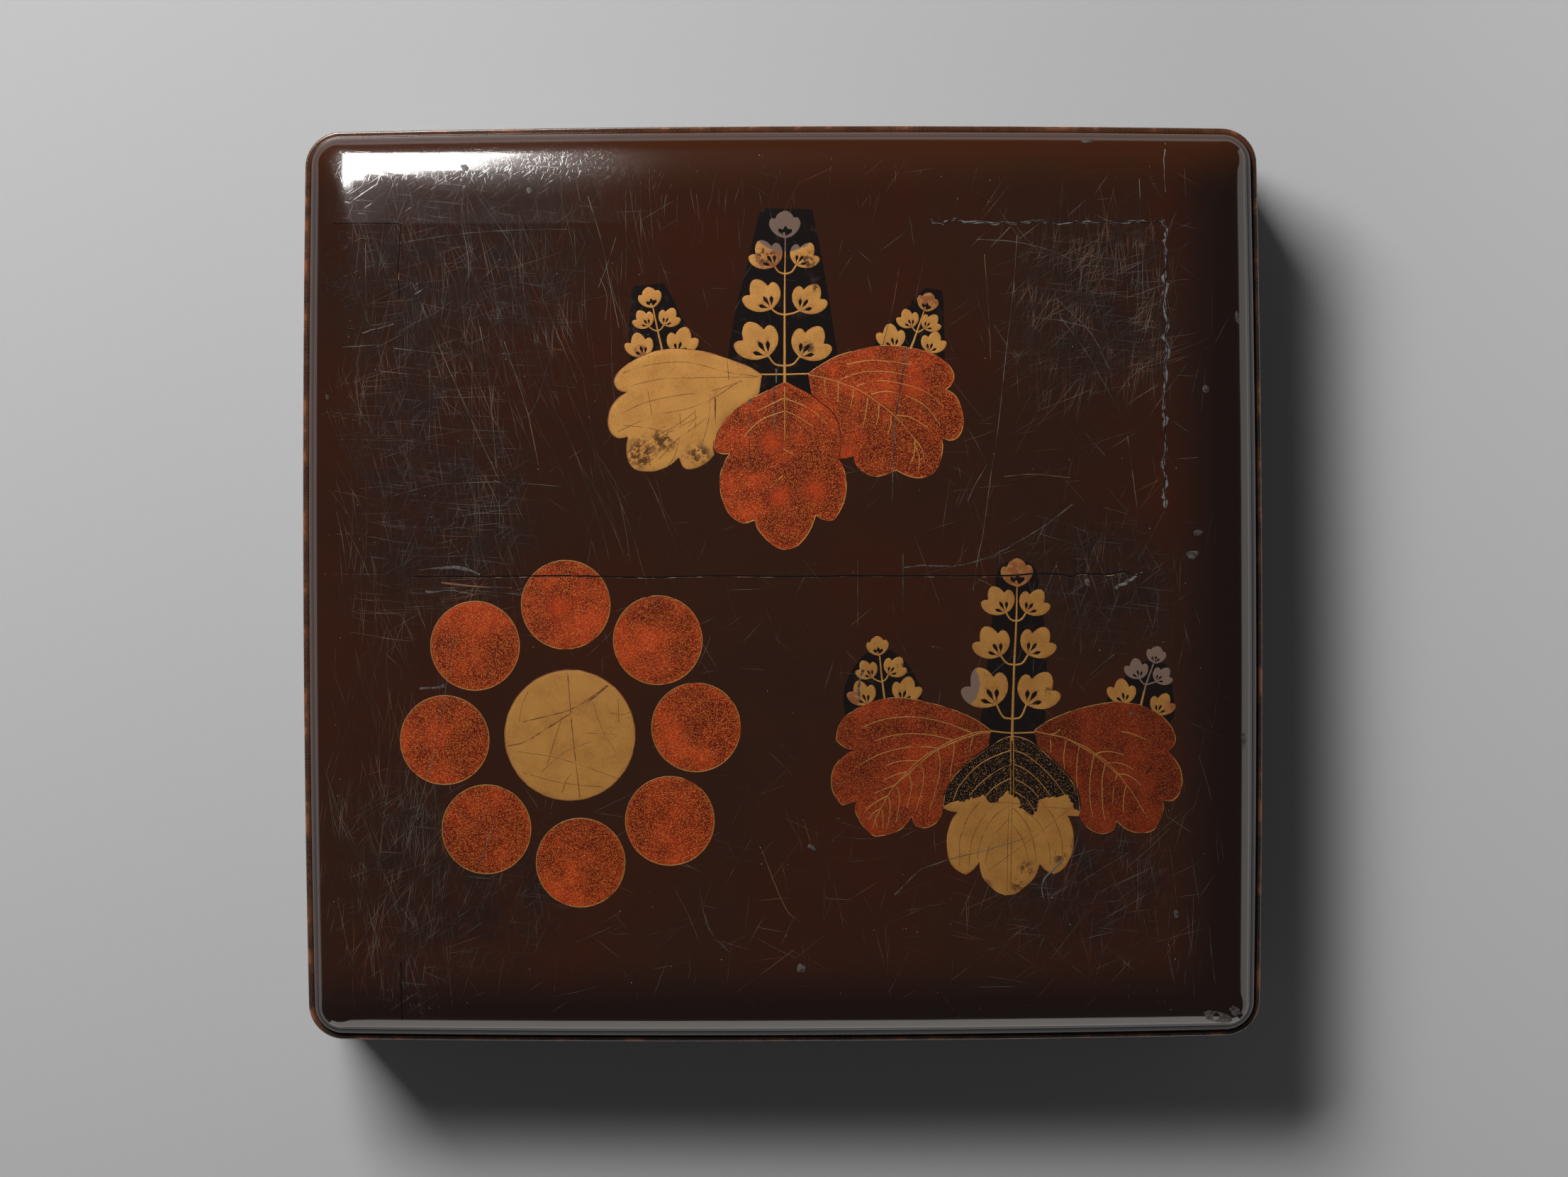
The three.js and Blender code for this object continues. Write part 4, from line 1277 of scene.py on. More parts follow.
LOWER_RIGHT_LEAF = [
    [(1475, 1019), (1492, 1011), (1515, 1002), (1538, 996), (1559, 992), (1578, 990), (1593, 992),
     (1608, 994), (1624, 1001), (1637, 1008), (1649, 1020), (1656, 1031), (1659, 1043),
     (1655, 1053), (1648, 1060)],
    [(1657, 1070), (1665, 1083), (1668, 1096), (1667, 1112), (1662, 1123), (1653, 1130), (1641, 1128)],
    [(1642, 1142), (1637, 1156), (1628, 1171), (1612, 1175), (1597, 1173), (1584, 1166), (1575, 1157)],
    [(1573, 1167), (1569, 1173), (1553, 1176), (1540, 1171), (1528, 1161), (1522, 1150)],
    [(1526, 1138), (1520, 1111), (1510, 1095), (1496, 1080), (1482, 1066), (1464, 1051)],
    [(1459, 1031)],
]
MIDDLE_LEAF_LEFT_EDGE = [(1331, 1137), (1333, 1121), (1338, 1108), (1347, 1094), (1359, 1082),
                         (1374, 1069), (1388, 1060), (1402, 1050), (1415, 1042), (1428, 1038)]
MIDDLE_LEAF_RIGHT_EDGE = [(1428, 1038), (1446, 1042), (1463, 1052), (1480, 1068), (1495, 1082),
                          (1508, 1097), (1518, 1112), (1522, 1127), (1524, 1145)]
MIDDLE_LEAF_LOBES = [
    [(1522, 1151), (1514, 1151), (1506, 1151)],
    [(1509, 1156), (1513, 1167), (1515, 1184), (1514, 1199), (1508, 1214), (1499, 1227), (1488, 1233)],
    [(1476, 1228), (1467, 1219)],
    [(1464, 1229), (1458, 1240), (1445, 1252), (1432, 1261), (1418, 1263)],
    [(1406, 1258), (1395, 1248), (1387, 1239), (1383, 1226), (1382, 1216)],
    [(1372, 1228), (1363, 1234)],
    [(1354, 1230), (1344, 1222), (1338, 1210), (1336, 1196), (1336, 1180), (1339, 1167), (1344, 1154),
     (1351, 1146)],
    [(1340, 1144), (1331, 1140)],
]
RAGGED_BORDER = [(1341, 1132), (1352, 1129), (1361, 1131), (1369, 1124), (1373, 1128), (1387, 1120),
                 (1393, 1129), (1398, 1134), (1407, 1131), (1417, 1119), (1422, 1115), (1425, 1122),
                 (1432, 1124), (1436, 1125), (1441, 1134), (1436, 1140), (1447, 1143), (1455, 1150),
                 (1463, 1144), (1464, 1133), (1466, 1127), (1476, 1125), (1491, 1124), (1507, 1122),
                 (1510, 1128), (1514, 1134), (1517, 1141)]
BORDER_TEETH = 3
BORDER_JITTER = 1.8
BORDER_SEED = 11
BLACK_HALF_RELIEF = 0.072


def ragged(points):
    """The border broken into small uneven teeth, each a sharp corner of the outline."""
    chance = random.Random(BORDER_SEED)
    teeth = []
    for a, b in zip(points, points[1:]):
        for i in range(BORDER_TEETH):
            part = i / BORDER_TEETH
            teeth.append((a[0] + (b[0] - a[0]) * part + chance.uniform(-1, 1) * BORDER_JITTER * 0.6,
                          a[1] + (b[1] - a[1]) * part + chance.uniform(-1, 1) * BORDER_JITTER))
    return teeth


border = ragged(RAGGED_BORDER)
gold_half = [MIDDLE_LEAF_RIGHT_EDGE[-1:], *MIDDLE_LEAF_LOBES, [MIDDLE_LEAF_LEFT_EDGE[0]],
             *[[point] for point in border]]
black_half = [MIDDLE_LEAF_LEFT_EDGE, MIDDLE_LEAF_RIGHT_EDGE[1:-1], *[[point] for point in reversed(border)]]
# tone 0.80 is painted shade: this leaf lies further from the lamp
leaf_gold = gold_powder("gold_of_the_lower_leaf", tone=0.80,
                        rubbed=(((1497, 1210), 15), ((1448, 1225), 19), ((1437, 1248), 17)),
                        orange=(((1365, 1240), 8), ((1515, 1190), 7), ((1390, 1250), 10)))
lay("lower_crest_gold_half_leaf", [[lobed(gold_half)]], LEAF_RELIEF, leaf_gold)
lay("lower_crest_black_half_leaf", [[lobed(black_half)]], BLACK_HALF_RELIEF, black_finish)
side_leaves = (("left", LOWER_LEFT_LEAF, 0.36, (((1232, 1170), 18), ((1176, 1090), 12))),
               ("right", LOWER_RIGHT_LEAF, 0.58, (((1522, 1100), 14), ((1612, 1172), 14))))
# Their depths are painted shade: these leaves lie further from the lamp, the right one furthest
for side, outline, depth, glows in side_leaves:
    finish = nashiji(f"nashiji_of_the_lower_{side}_leaf", glows=glows, depth=depth)
    lay(f"lower_crest_nashiji_{side}_leaf", [[lobed(outline)]], LEAF_RELIEF, finish)

# Loose gold flakes on the black half of the middle leaf. They are filings of gold, sprinkled from a tube onto
# the wet lacquer, and each lies as it fell.

FLAKE_SIZE = 0.14
FLAKES_PER_SQUARE_METRE = 2.4e6


def chance_between(tree, low, high, seed):
    """A random number for each point."""
    sockets = {2: low, 3: high, "Seed": seed}
    return add_node(tree, "FunctionNodeRandomValue", sockets, data_type="FLOAT").outputs[1]


flake_nodes, given = new_nodes("sprinkled_flakes", Density="Float", Size="Float", Seed="Int",
                               Finish="Material")
tree = flake_nodes
_, _, upwards = parts(tree, result(tree, "GeometryNodeInputNormal"))
upper_face = result(tree, "FunctionNodeCompare", {0: upwards, 1: 0.9}, operation="GREATER_THAN")
cast = result(tree, "GeometryNodeDistributePointsOnFaces",
              {"Mesh": given["Geometry"], "Selection": upper_face, "Density": given["Density"],
               "Seed": given["Seed"]})
grain = result(tree, "GeometryNodeMeshIcoSphere", {"Radius": 1.0, "Subdivisions": 1})
spin = result(tree, "FunctionNodeRandomValue", {1: (0.3, 0.3, 6.28), "Seed": 3}, data_type="FLOAT_VECTOR")
size = times(tree, chance_between(tree, 0.45, 1.25, 5), given["Size"])
thin = xyz(tree, size, times(tree, size, 0.75), times(tree, size, 0.25))
flakes = result(tree, "GeometryNodeInstanceOnPoints",
                {"Points": cast, "Instance": grain, "Rotation": spin, "Scale": thin})
whole = result(tree, "GeometryNodeRealizeInstances", {0: flakes})
end_nodes(tree, laid_on_lid(tree, whole), given["Finish"])
flake_bed = plates("flake_bed", [[lobed(black_half)]], BLACK_HALF_RELIEF)
flakes = made_by(flake_nodes, "lower_crest_loose_flakes", flake_bed, Density=FLAKES_PER_SQUARE_METRE,
                 Size=FLAKE_SIZE * MILLIMETRE, Seed=4, Finish=gold_powder("gold_of_the_flakes"))
ride_on_lid(flakes)

# Flowers, stems and veins of the lower crest. The flowers at the far right and the edge of one in the middle
# have lost their gold, and only grey priming is left.

LOWER_FLOWERS = [
    ("upright", (1436, 828), (1435, 786), 0.97), ("left", (1420, 865), (1403, 831), 0.75),
    ("right", (1447, 865), (1467, 833), 0.70), ("left", (1412, 926), (1391, 885), 0.84),
    ("right", (1450, 924), (1472, 889), 0.82), ("left", (1406, 995), (1383, 948), 1.05),
    ("right", (1448, 995), (1475, 952), 0.98),
    ("upright", (1240, 925), (1237, 897), 0.67), ("left", (1231, 956), (1217, 932), 0.50),
    ("right", (1253, 952), (1270, 927), 0.54), ("left", (1224, 994), (1213, 965), 0.64),
    ("right", (1272, 990), (1281, 957), 0.66),
    ("upright", (1629, 936), (1636, 907), 0.60), ("left", (1608, 958), (1603, 929), 0.53),
    ("right", (1631, 962), (1646, 945), 0.47), ("left", (1587, 993), (1584, 964), 0.64),
    ("right", (1632, 1007), (1644, 981), 0.57),
]
LOWER_STEMS = [
    stroke([(1428, 1045), (1429, 1000), (1431, 937), (1434, 875), (1435, 827)], 4.2, 2.2),
    stroke([(1397, 1031), (1427, 1034), (1460, 1033)], 2.2),
    stroke([(1248, 986), (1244, 955), (1241, 925)], 3.2, 2.0),
    stroke([(1610, 995), (1617, 967), (1628, 936)], 3.4, 2.0),
    *twigs([((1420, 865), (1433, 876)), ((1447, 865), (1434, 876)), ((1412, 925), (1432, 938)),
            ((1450, 924), (1432, 938)), ((1406, 994), (1429, 1014)), ((1448, 994), (1429, 1014))]),
    *twigs([((1231, 956), (1244, 962)), ((1253, 952), (1245, 961)), ((1608, 957), (1618, 966)),
            ((1631, 962), (1618, 966))], width=2.2),
]
# tone 0.82 is painted shade: these flowers lie further from the lamp
lower_flower_gold = gold_powder("gold_of_the_lower_flowers", tone=0.82,
                                rubbed=(((1276, 938), 16), ((1480, 975), 10)),
                                greyed=(((1623, 934), 44), ((1344, 965), 40)),
                                orange=(((1435, 808), 28), ((1205, 985), 10), ((1655, 1000), 12)))
florets("lower_crest_flowers", LOWER_FLOWERS, lower_flower_gold)
for unit, _ in floret_kinds.values():
    bpy.data.objects.remove(unit)
brushed("lower_crest_stems", LOWER_STEMS, lower_flower_gold, "gold_makie", height=FLORET_RELIEF)

LOWER_LEFT_VEINS = [
    [(1399, 1032), (1384, 1032), (1370, 1035), (1356, 1040), (1342, 1045), (1329, 1052), (1312, 1062),
     (1296, 1073), (1280, 1089), (1263, 1107)],
    [(1397, 1034), (1384, 1034), (1371, 1038), (1358, 1042), (1344, 1048), (1330, 1054), (1313, 1064),
     (1298, 1076), (1282, 1091), (1263, 1107), (1253, 1122), (1243, 1140), (1234, 1158), (1232, 1168)],
    [(1371, 1034), (1355, 1027), (1332, 1019), (1310, 1014), (1284, 1011), (1256, 1013), (1236, 1018),
     (1219, 1025)],
    [(1344, 1044), (1325, 1039), (1306, 1036), (1280, 1035), (1256, 1038), (1234, 1045)],
    [(1321, 1055), (1301, 1053), (1280, 1054), (1256, 1059), (1234, 1067), (1213, 1079)],
    [(1298, 1073), (1280, 1073), (1263, 1075), (1250, 1080)],
    [(1279, 1089), (1263, 1093), (1246, 1101)], [(1263, 1108), (1250, 1112), (1234, 1119)],
    [(1253, 1122), (1238, 1130), (1225, 1139), (1220, 1146)],
    [(1243, 1140), (1232, 1147), (1225, 1157)],
    [(1373, 1039), (1370, 1049), (1368, 1061)], [(1346, 1048), (1346, 1060), (1343, 1077), (1340, 1098)],
    [(1323, 1058), (1326, 1070), (1326, 1087), (1323, 1104), (1318, 1123), (1312, 1140)],
    [(1299, 1076), (1303, 1090), (1302, 1108), (1298, 1125), (1292, 1144)],
    [(1282, 1090), (1286, 1106), (1284, 1122), (1280, 1139)],
    [(1265, 1110), (1269, 1122), (1268, 1139), (1264, 1161)],
    [(1254, 1124), (1256, 1137), (1255, 1152), (1252, 1166)], [(1244, 1142), (1246, 1154), (1245, 1168)],
    [(1235, 1158), (1238, 1168)],
]
LOWER_RIGHT_VEINS = [
    [(1459, 1031), (1480, 1036), (1500, 1040), (1515, 1046), (1532, 1054), (1547, 1064), (1563, 1076),
     (1578, 1092), (1591, 1109), (1603, 1126), (1612, 1142), (1620, 1154)],
    [(1507, 1043), (1530, 1056), (1546, 1066), (1561, 1078), (1577, 1093)],
    [(1480, 1036), (1488, 1035), (1496, 1029)], [(1547, 1063), (1559, 1060), (1572, 1061), (1586, 1065)],
    [(1563, 1076), (1576, 1076), (1588, 1079), (1600, 1086)],
    [(1578, 1092), (1589, 1093), (1601, 1099), (1610, 1108)],
    [(1582, 1032), (1593, 1034), (1607, 1039), (1618, 1044)], [(1482, 1043), (1483, 1062)],
    [(1504, 1045), (1501, 1066), (1502, 1085)], [(1523, 1052), (1520, 1071), (1519, 1092), (1520, 1112)],
    [(1544, 1064), (1540, 1085), (1538, 1104), (1538, 1127), (1542, 1152)],
    [(1560, 1077), (1556, 1094), (1555, 1115), (1556, 1138), (1559, 1156)],
    [(1576, 1093), (1572, 1108), (1570, 1133)], [(1589, 1108), (1586, 1123), (1585, 1146)],
]
MIDDLE_LEAF_VEINS = [
    [(1426, 1040), (1426, 1123)], [(1430, 1040), (1430, 1123)],
    [(1427, 1058), (1410, 1064), (1392, 1072), (1375, 1084), (1362, 1098), (1351, 1113), (1345, 1129)],
    [(1427, 1078), (1410, 1085), (1394, 1096), (1380, 1108), (1368, 1122)],
    [(1426, 1098), (1413, 1104), (1401, 1112), (1390, 1124)],
    [(1431, 1058), (1446, 1064), (1463, 1076), (1478, 1090), (1492, 1106), (1503, 1122)],
    [(1431, 1078), (1446, 1085), (1461, 1097), (1473, 1110), (1482, 1123)],
    [(1432, 1099), (1444, 1105), (1456, 1114), (1466, 1126)],
    [(1432, 1117), (1442, 1123), (1452, 1132), (1460, 1145)],
]
MIDDLE_LEAF_HAIRLINES = [
    [(1424, 1134), (1422, 1179), (1421, 1257)], [(1428, 1130), (1427, 1179), (1426, 1255)],
    [(1383, 1131), (1369, 1147), (1360, 1167), (1354, 1186), (1354, 1208), (1354, 1223)],
    [(1404, 1133), (1387, 1153), (1375, 1174), (1369, 1196), (1367, 1223)],
    [(1422, 1137), (1404, 1150), (1390, 1171), (1381, 1196), (1379, 1211)],
    [(1422, 1156), (1406, 1174), (1395, 1196), (1390, 1217)],
    [(1468, 1130), (1483, 1147), (1492, 1167), (1498, 1187), (1499, 1208), (1497, 1222)],
    [(1447, 1145), (1463, 1158), (1475, 1178), (1481, 1198), (1482, 1220)],
    [(1430, 1140), (1446, 1158), (1456, 1180), (1461, 1204), (1462, 1222)],
    [(1430, 1165), (1442, 1183), (1449, 1204), (1451, 1226)],
    [(1388, 1233), (1418, 1211), (1453, 1185), (1514, 1137)],
    [(1407, 1131), (1438, 1134), (1465, 1137), (1521, 1142)],
]
# tone 0.72 is painted shade: these lines lie further from the lamp than the upper crest's
gold_with_painted_shade = gold_powder("gold_of_the_lines_painted_shade", tone=0.72)
lower_outlines = [(lobed(leaf)[:-8 * OUTLINE_STEPS], 1.4, 1.4)
                  for leaf in (LOWER_LEFT_LEAF, LOWER_RIGHT_LEAF)]
lower_outlines += [stroke(edge, 1.5) for edge in (MIDDLE_LEAF_LEFT_EDGE, MIDDLE_LEAF_RIGHT_EDGE)]
brushed("lower_crest_outlines", lower_outlines, gold_with_painted_shade, "gold_makie", worn=0.44)
lower_veins = [stroke(points, 1.7, 1.1) for points in LOWER_LEFT_VEINS + LOWER_RIGHT_VEINS]
lower_veins += [stroke(points, 1.5, 1.1) for points in MIDDLE_LEAF_VEINS]
brushed("lower_crest_veins", lower_veins, gold_with_painted_shade, "gold_makie", worn=0.32)
brushed("lower_crest_hairlines", [stroke(points, 0.9) for points in MIDDLE_LEAF_HAIRLINES], hairline_finish,
        "gold_makie", waver=0.15, flatness=0.1, height=LEAF_RELIEF, worn=0.36)

# Crest at the lower left: nine discs, a large one of gold powder among eight smaller ones of nashiji, each
# ringed by a thin gold line. The gold disc carries old scratches that go down to the dark ground.

MIDDLE_DISC = (803.8, 1037)
MIDDLE_RADIUS = 92.8
DISC_RADIUS = 62.7
DISC_CENTRES = [(798, 853), (928, 903), (982, 1026), (945, 1158), (819, 1217), (686, 1170),
                (627, 1044), (670, 911)]
DISC_STEPS = 72
DISC_SCRATCHES = [
    ([(715, 1052), (739, 1047), (772, 1027), (804, 1007), (832, 988), (858, 967)], 1.8),
    ([(738, 1018), (772, 1010), (804, 1001), (832, 985), (857, 966)], 1.4),
    ([(801, 953), (803, 980), (805, 1007), (811, 1066), (818, 1125)], 1.3),
    ([(793, 1011), (782, 1045), (772, 1078)], 1.0), ([(738, 1090), (790, 1104), (850, 1110)], 0.8),
    ([(730, 1060), (790, 1070), (872, 1098)], 0.7), ([(836, 990), (850, 1030), (868, 1060)], 0.7),
    ([(764, 1088), (798, 1060), (834, 1046)], 0.7), ([(793, 1118), (800, 1098), (806, 1092)], 1.0),
    ([(860, 1005), (880, 1008), (892, 1002)], 0.7), ([(732, 1019), (736, 996), (745, 975)], 0.7),
    ([(826, 1034), (870, 1036)], 0.7), ([(872, 985), (873, 1020)], 0.7),
]


def disc(centre, radius):
    turns = (2 * math.pi * step / DISC_STEPS for step in range(DISC_STEPS))
    return [on_lid((centre[0] + radius * math.cos(turn), centre[1] - radius * math.sin(turn)))
            for turn in turns]


# tone 0.87 is painted shade: the disc lies further from the lamp
lay("disc_crest_gold_disc", [[disc(MIDDLE_DISC, MIDDLE_RADIUS)]], LEAF_RELIEF,
    gold_powder("gold_of_the_disc", tone=0.87))
disc_shapes = [[disc(centre, DISC_RADIUS)] for centre in DISC_CENTRES]
lay("disc_crest_nashiji_discs", disc_shapes, LEAF_RELIEF,
    nashiji("nashiji_of_the_discs", glows=(((790, 857), 24),)))
brushed("disc_crest_outlines", [closed(shape[0], 1.5) for shape in disc_shapes], gold_with_painted_shade, "gold_makie",
        worn=0.34)
disc_marks = [stroke(points, width) for points, width in DISC_SCRATCHES]
disc_marks += [closed(disc(MIDDLE_DISC, MIDDLE_RADIUS - 0.5), 1.2)]
brushed("disc_crest_scratches", disc_marks, hairline_finish, "gold_makie", waver=0.15, flatness=0.1,
        height=LEAF_RELIEF, worn=0.36)

# Cracks over the joints of the wood. Under the cloth the boards have moved, and the lacquer has split along
# the panel's seam and over the joints at the right and the back, where its lifted edges show grey.

SEAM = [(580, 813), (690, 813), (800, 812), (905, 814), (1010, 812), (1110, 813), (1210, 812),
        (1300, 812), (1400, 812), (1436, 811), (1456, 809), (1496, 810), (1513, 813), (1523, 809),
        (1566, 810), (1586, 806), (1599, 811), (1612, 809)]
RIGHT_JOINT = [(1641, 309), (1646, 330), (1642, 345), (1647, 368), (1643, 385), (1645, 400), (1642, 420),
               (1648, 455), (1644, 475), (1648, 497), (1643, 515), (1645, 545), (1642, 575), (1645, 590),
               (1643, 612), (1646, 632), (1642, 650), (1645, 670), (1643, 690), (1645, 705), (1643, 724)]
BACK_JOINT = [(1312, 310), (1326, 316), (1339, 311), (1350, 308), (1360, 314), (1384, 312), (1403, 315),
              (1418, 313), (1433, 315), (1452, 312), (1467, 310), (1478, 315), (1495, 314), (1512, 312),
              (1531, 313), (1550, 312), (1568, 312), (1587, 313), (1606, 311), (1625, 313), (1641, 309)]
LIFTED_GREY = (0.100, 0.096, 0.092, 1)
PRIMING_GREY = (0.026, 0.023, 0.022, 1)
CHIP_GREY = (0.055, 0.046, 0.042, 1)
CHIP_BROWN = (0.015, 0.009, 0.007, 1)
DARK_GAP = (0.002, 0.0015, 0.0015, 1)
CRACK_STEPS = 3
LIFTED_RELIEF = 0.12
CRACK_RELIEF = 0.13


def torn_strip(points, width, seed):
    """A ragged strip along the points. Each side wanders on its own, up to half the width in pixels."""
    chance = random.Random(seed)
    line = through([on_lid(point) for point in points], CRACK_STEPS)
    left, right = [], []
    for i, point in enumerate(line):
        ahead = (line[min(i + 1, len(line) - 1)] - line[max(i - 1, 0)]).normalized()
        across = Vector((-ahead.y, ahead.x)) * width / 2 / PIXELS_PER_MM
        shift = across * chance.uniform(-0.5, 0.5)
        left.append(point + shift + across * chance.uniform(0.12, 1.0) ** 1.5)
        right.append(point + shift - across * chance.uniform(0.12, 1.0) ** 1.5)
    return [left + right[::-1]]


def bare_priming(name, hollows, ridges):
    """The grey priming that shows where lacquer is lost, darker in its hollows than on its ridges."""
    finish, tree = new_finish(name)
    mottled = clouds(tree, place_in_piece(tree), 1.5, detail=4)
    colour = blend_colours(tree, rises(tree, mottled, 0.38, 0.58), hollows, ridges)
    surface(tree, Base_Color=colour, Roughness=0.45, Specular_IOR_Level=0.5,
            Normal=bumped(tree, mottled, 0.0003, 0.6))
    return finish


lifted_finish = bare_priming("lifted_lacquer_edges", PRIMING_GREY, LIFTED_GREY)
chipped_finish = bare_priming("chipped_priming", CHIP_BROWN, CHIP_GREY)
gap_finish, tree = new_finish("dark_gaps")
dusty = rises(tree, clouds(tree, place_in_piece(tree), 3), 0.58, 0.80)
surface(tree, Base_Color=blend_colours(tree, dusty, DARK_GAP, RUBBED_BROWN), Roughness=0.7,
        Specular_IOR_Level=0.1)
lifted = [torn_strip(RIGHT_JOINT, 8.5, 1), torn_strip(BACK_JOINT, 4.6, 2),
          torn_strip([(1612, 807), (1600, 814), (1588, 823), (1574, 830)], 7, 3),
          torn_strip([(1646, 199), (1643, 235), (1645, 270)], 2.0, 5)]
lay("crack_lifted_edges", lifted, LIFTED_RELIEF, lifted_finish)
seam_line = [stroke(SEAM, 2.2), stroke([(565, 316), (563, 350), (561, 385), (563, 420)], 1.4),
             stroke(RIGHT_JOINT, 1.3), stroke([(565, 1357), (565, 1441)], 1.6),
             stroke([(468, 314), (510, 314), (562, 314)], 1.3), stroke(BACK_JOINT, 1.0)]
brushed("crack_dark_gaps", seam_line, gap_finish, "brown_black_lacquer", height=CRACK_RELIEF, step=0.7,
        waver=0.35, flatness=0.15, worn=0.30)
# Painted glints: thin light lines just beside the seam and the crack at the left stand for light caught on
# the cracks' edges
painted_glint_finish, tree = new_finish("crack_glints")
place = place_in_piece(tree)
colour = blend_colours(tree, rises(tree, clouds(tree, place, 5), 0.4, 0.6), (0.14, 0.045, 0.018, 1),
                       (0.30, 0.19, 0.10, 1))
surface(tree, Base_Color=colour, Roughness=0.4)
painted_seam_glints = [stroke([(x, y + 1.6) for x, y in SEAM], 0.8),
               stroke([(566, 318), (564, 352), (562, 395)], 0.9)]
brushed("crack_glints", painted_seam_glints, painted_glint_finish, "brown_black_lacquer", height=CRACK_RELIEF, step=0.5,
        waver=0.5, flatness=0.15, worn=0.55)

# Scratches. Over the years the lid has been slid under and against other things, which left thousands of fine
# marks, some grey, some down to the brown ground. They lie thick at the left and at the upper right.

# Each area: middle and half sizes in pixels, direction and its spread in degrees, mean length in millimetres
# and scratches per square centimetre
SCRATCHED_AREAS = (
    ((650, 440), (165, 130), 98, 24, 26, 0.75),
    ((650, 440), (165, 130), 5, 22, 18, 0.35),
    ((600, 720), (130, 190), 100, 22, 24, 0.65),
    ((600, 720), (130, 190), 0, 12, 22, 0.40),
    ((560, 1170), (90, 230), 94, 20, 26, 0.75),
    ((560, 1240), (110, 120), 50, 40, 18, 0.70),
    ((800, 500), (140, 250), 106, 16, 32, 0.28),
    ((1545, 430), (105, 115), 90, 12, 20, 1.30),
    ((1545, 450), (110, 115), 52, 40, 20, 1.30),
    ((1545, 430), (110, 100), 2, 12, 14, 0.70),
    ((1480, 640), (180, 200), 70, 60, 18, 0.16),
    ((1520, 1260), (160, 110), 60, 45, 17, 0.45),
    ((1650, 1250), (70, 160), 88, 16, 18, 0.28),
    ((1100, 1270), (420, 130), 40, 60, 14, 0.22),
    ((1000, 270), (420, 60), 85, 20, 12, 0.30),
    ((1550, 850), (130, 100), 85, 26, 18, 0.28),
    ((1105, 830), (620, 600), 45, 90, 13, 0.16),
)
GREY_SCRATCH = (0.090, 0.073, 0.062, 1)
BROWN_SCRATCH = (0.112, 0.045, 0.021, 1)
FAINT_SCRATCH = (0.016, 0.0085, 0.0062, 1)
SQUARE_CENTIMETRES = 1e4
SCRATCH_PIECES = 8

scatter_nodes, given = new_nodes("scattered_scratches", Share="Float", Width="Float", Seed="Int",
                                 Finish="Material")
tree = scatter_nodes
own = carried(tree, "thickness", "direction", "spread", "reach", "along", "width")
cast = result(tree, "GeometryNodeDistributePointsOnFaces",
              {"Mesh": given["Geometry"], "Seed": given["Seed"],
               "Density": times(tree, own["thickness"], given["Share"])})
line = result(tree, "GeometryNodeMeshLine", {"Count": SCRATCH_PIECES + 1, "Start Location": (-0.5, 0, 0),
                                             "Offset": (1 / SCRATCH_PIECES, 0, 0)})
along = combine(tree, "DIVIDE", result(tree, "GeometryNodeInputIndex"), float(SCRATCH_PIECES))
line = result(tree, "GeometryNodeStoreNamedAttribute", {"Geometry": line, "Name": "along", "Value": along})
turn = combine(tree, "MULTIPLY_ADD", chance_between(tree, -1.0, 1.0, 7), own["spread"], own["direction"])
stretch = times(tree, chance_between(tree, 0.25, 1.75, 9), own["reach"])
marks = result(tree, "GeometryNodeInstanceOnPoints",
               {"Points": cast, "Instance": line, "Rotation": xyz(tree, z=turn),
                "Scale": xyz(tree, stretch, 1.0, 1.0)})
marks = result(tree, "GeometryNodeStoreNamedAttribute",
               {"Geometry": marks, "Name": "width", "Value": chance_between(tree, 0.35, 1.0, 13)},
               domain="INSTANCE")
marks = result(tree, "GeometryNodeRealizeInstances", {0: marks})
from_middle = combine(tree, "ABSOLUTE", combine(tree, "MULTIPLY_ADD", own["along"], 2.0, -1.0))
taper = combine(tree, "SUBTRACT", 1.0, combine(tree, "POWER", from_middle, 3.0))
half = times(tree, own["width"], taper, given["Width"])
marks = result(tree, "GeometryNodeStoreNamedAttribute",
               {"Geometry": marks, "Name": "half_width", "Value": half})
drift = add_node(tree, "ShaderNodeTexNoise", {"Vector": point_places(tree), "Scale": 14.0, "Detail": 1.0})
bend = vector_math(tree, "MULTIPLY_ADD", drift.outputs["Color"], (0.012, 0.012, 0), (-0.006, -0.006, 0))
marks = result(tree, "GeometryNodeSetPosition", {"Geometry": marks, "Offset": bend})
end_nodes(tree, marks, given["Finish"])


def scratched_areas(name):
    """The areas as flat patches that carry how their scratches lie."""
    vertices, faces = [], []
    values = {"thickness": [], "direction": [], "spread": [], "reach": []}
    for (x, y), (half_x, half_y), direction, spread, length, count in SCRATCHED_AREAS:
        corners = [(x - half_x, y + half_y), (x + half_x, y + half_y), (x + half_x, y - half_y),
                   (x - half_x, y - half_y)]
        faces.append(tuple(range(len(vertices), len(vertices) + 4)))
        vertices += [metres(*on_lid(corner), 0) for corner in corners]
        values["thickness"].append(count * SQUARE_CENTIMETRES)
        values["direction"].append(math.radians(direction))
        values["spread"].append(math.radians(spread))
        values["reach"].append(length * MILLIMETRE)
    mesh = new_mesh(name, vertices, [], faces)
    give_values(mesh, "FACE", **values)
    return put_in_scene(name, mesh)


def scratch_finish(name, bright):
    finish, tree = new_finish(name)
    place = place_in_piece(tree)
    shown = rises(tree, clouds(tree, place, 12, detail=3), 0.38, 0.62)
    surface(tree, Base_Color=blend_colours(tree, shown, FAINT_SCRATCH, bright), Roughness=0.5,
            Specular_IOR_Level=0.3)
    return finish


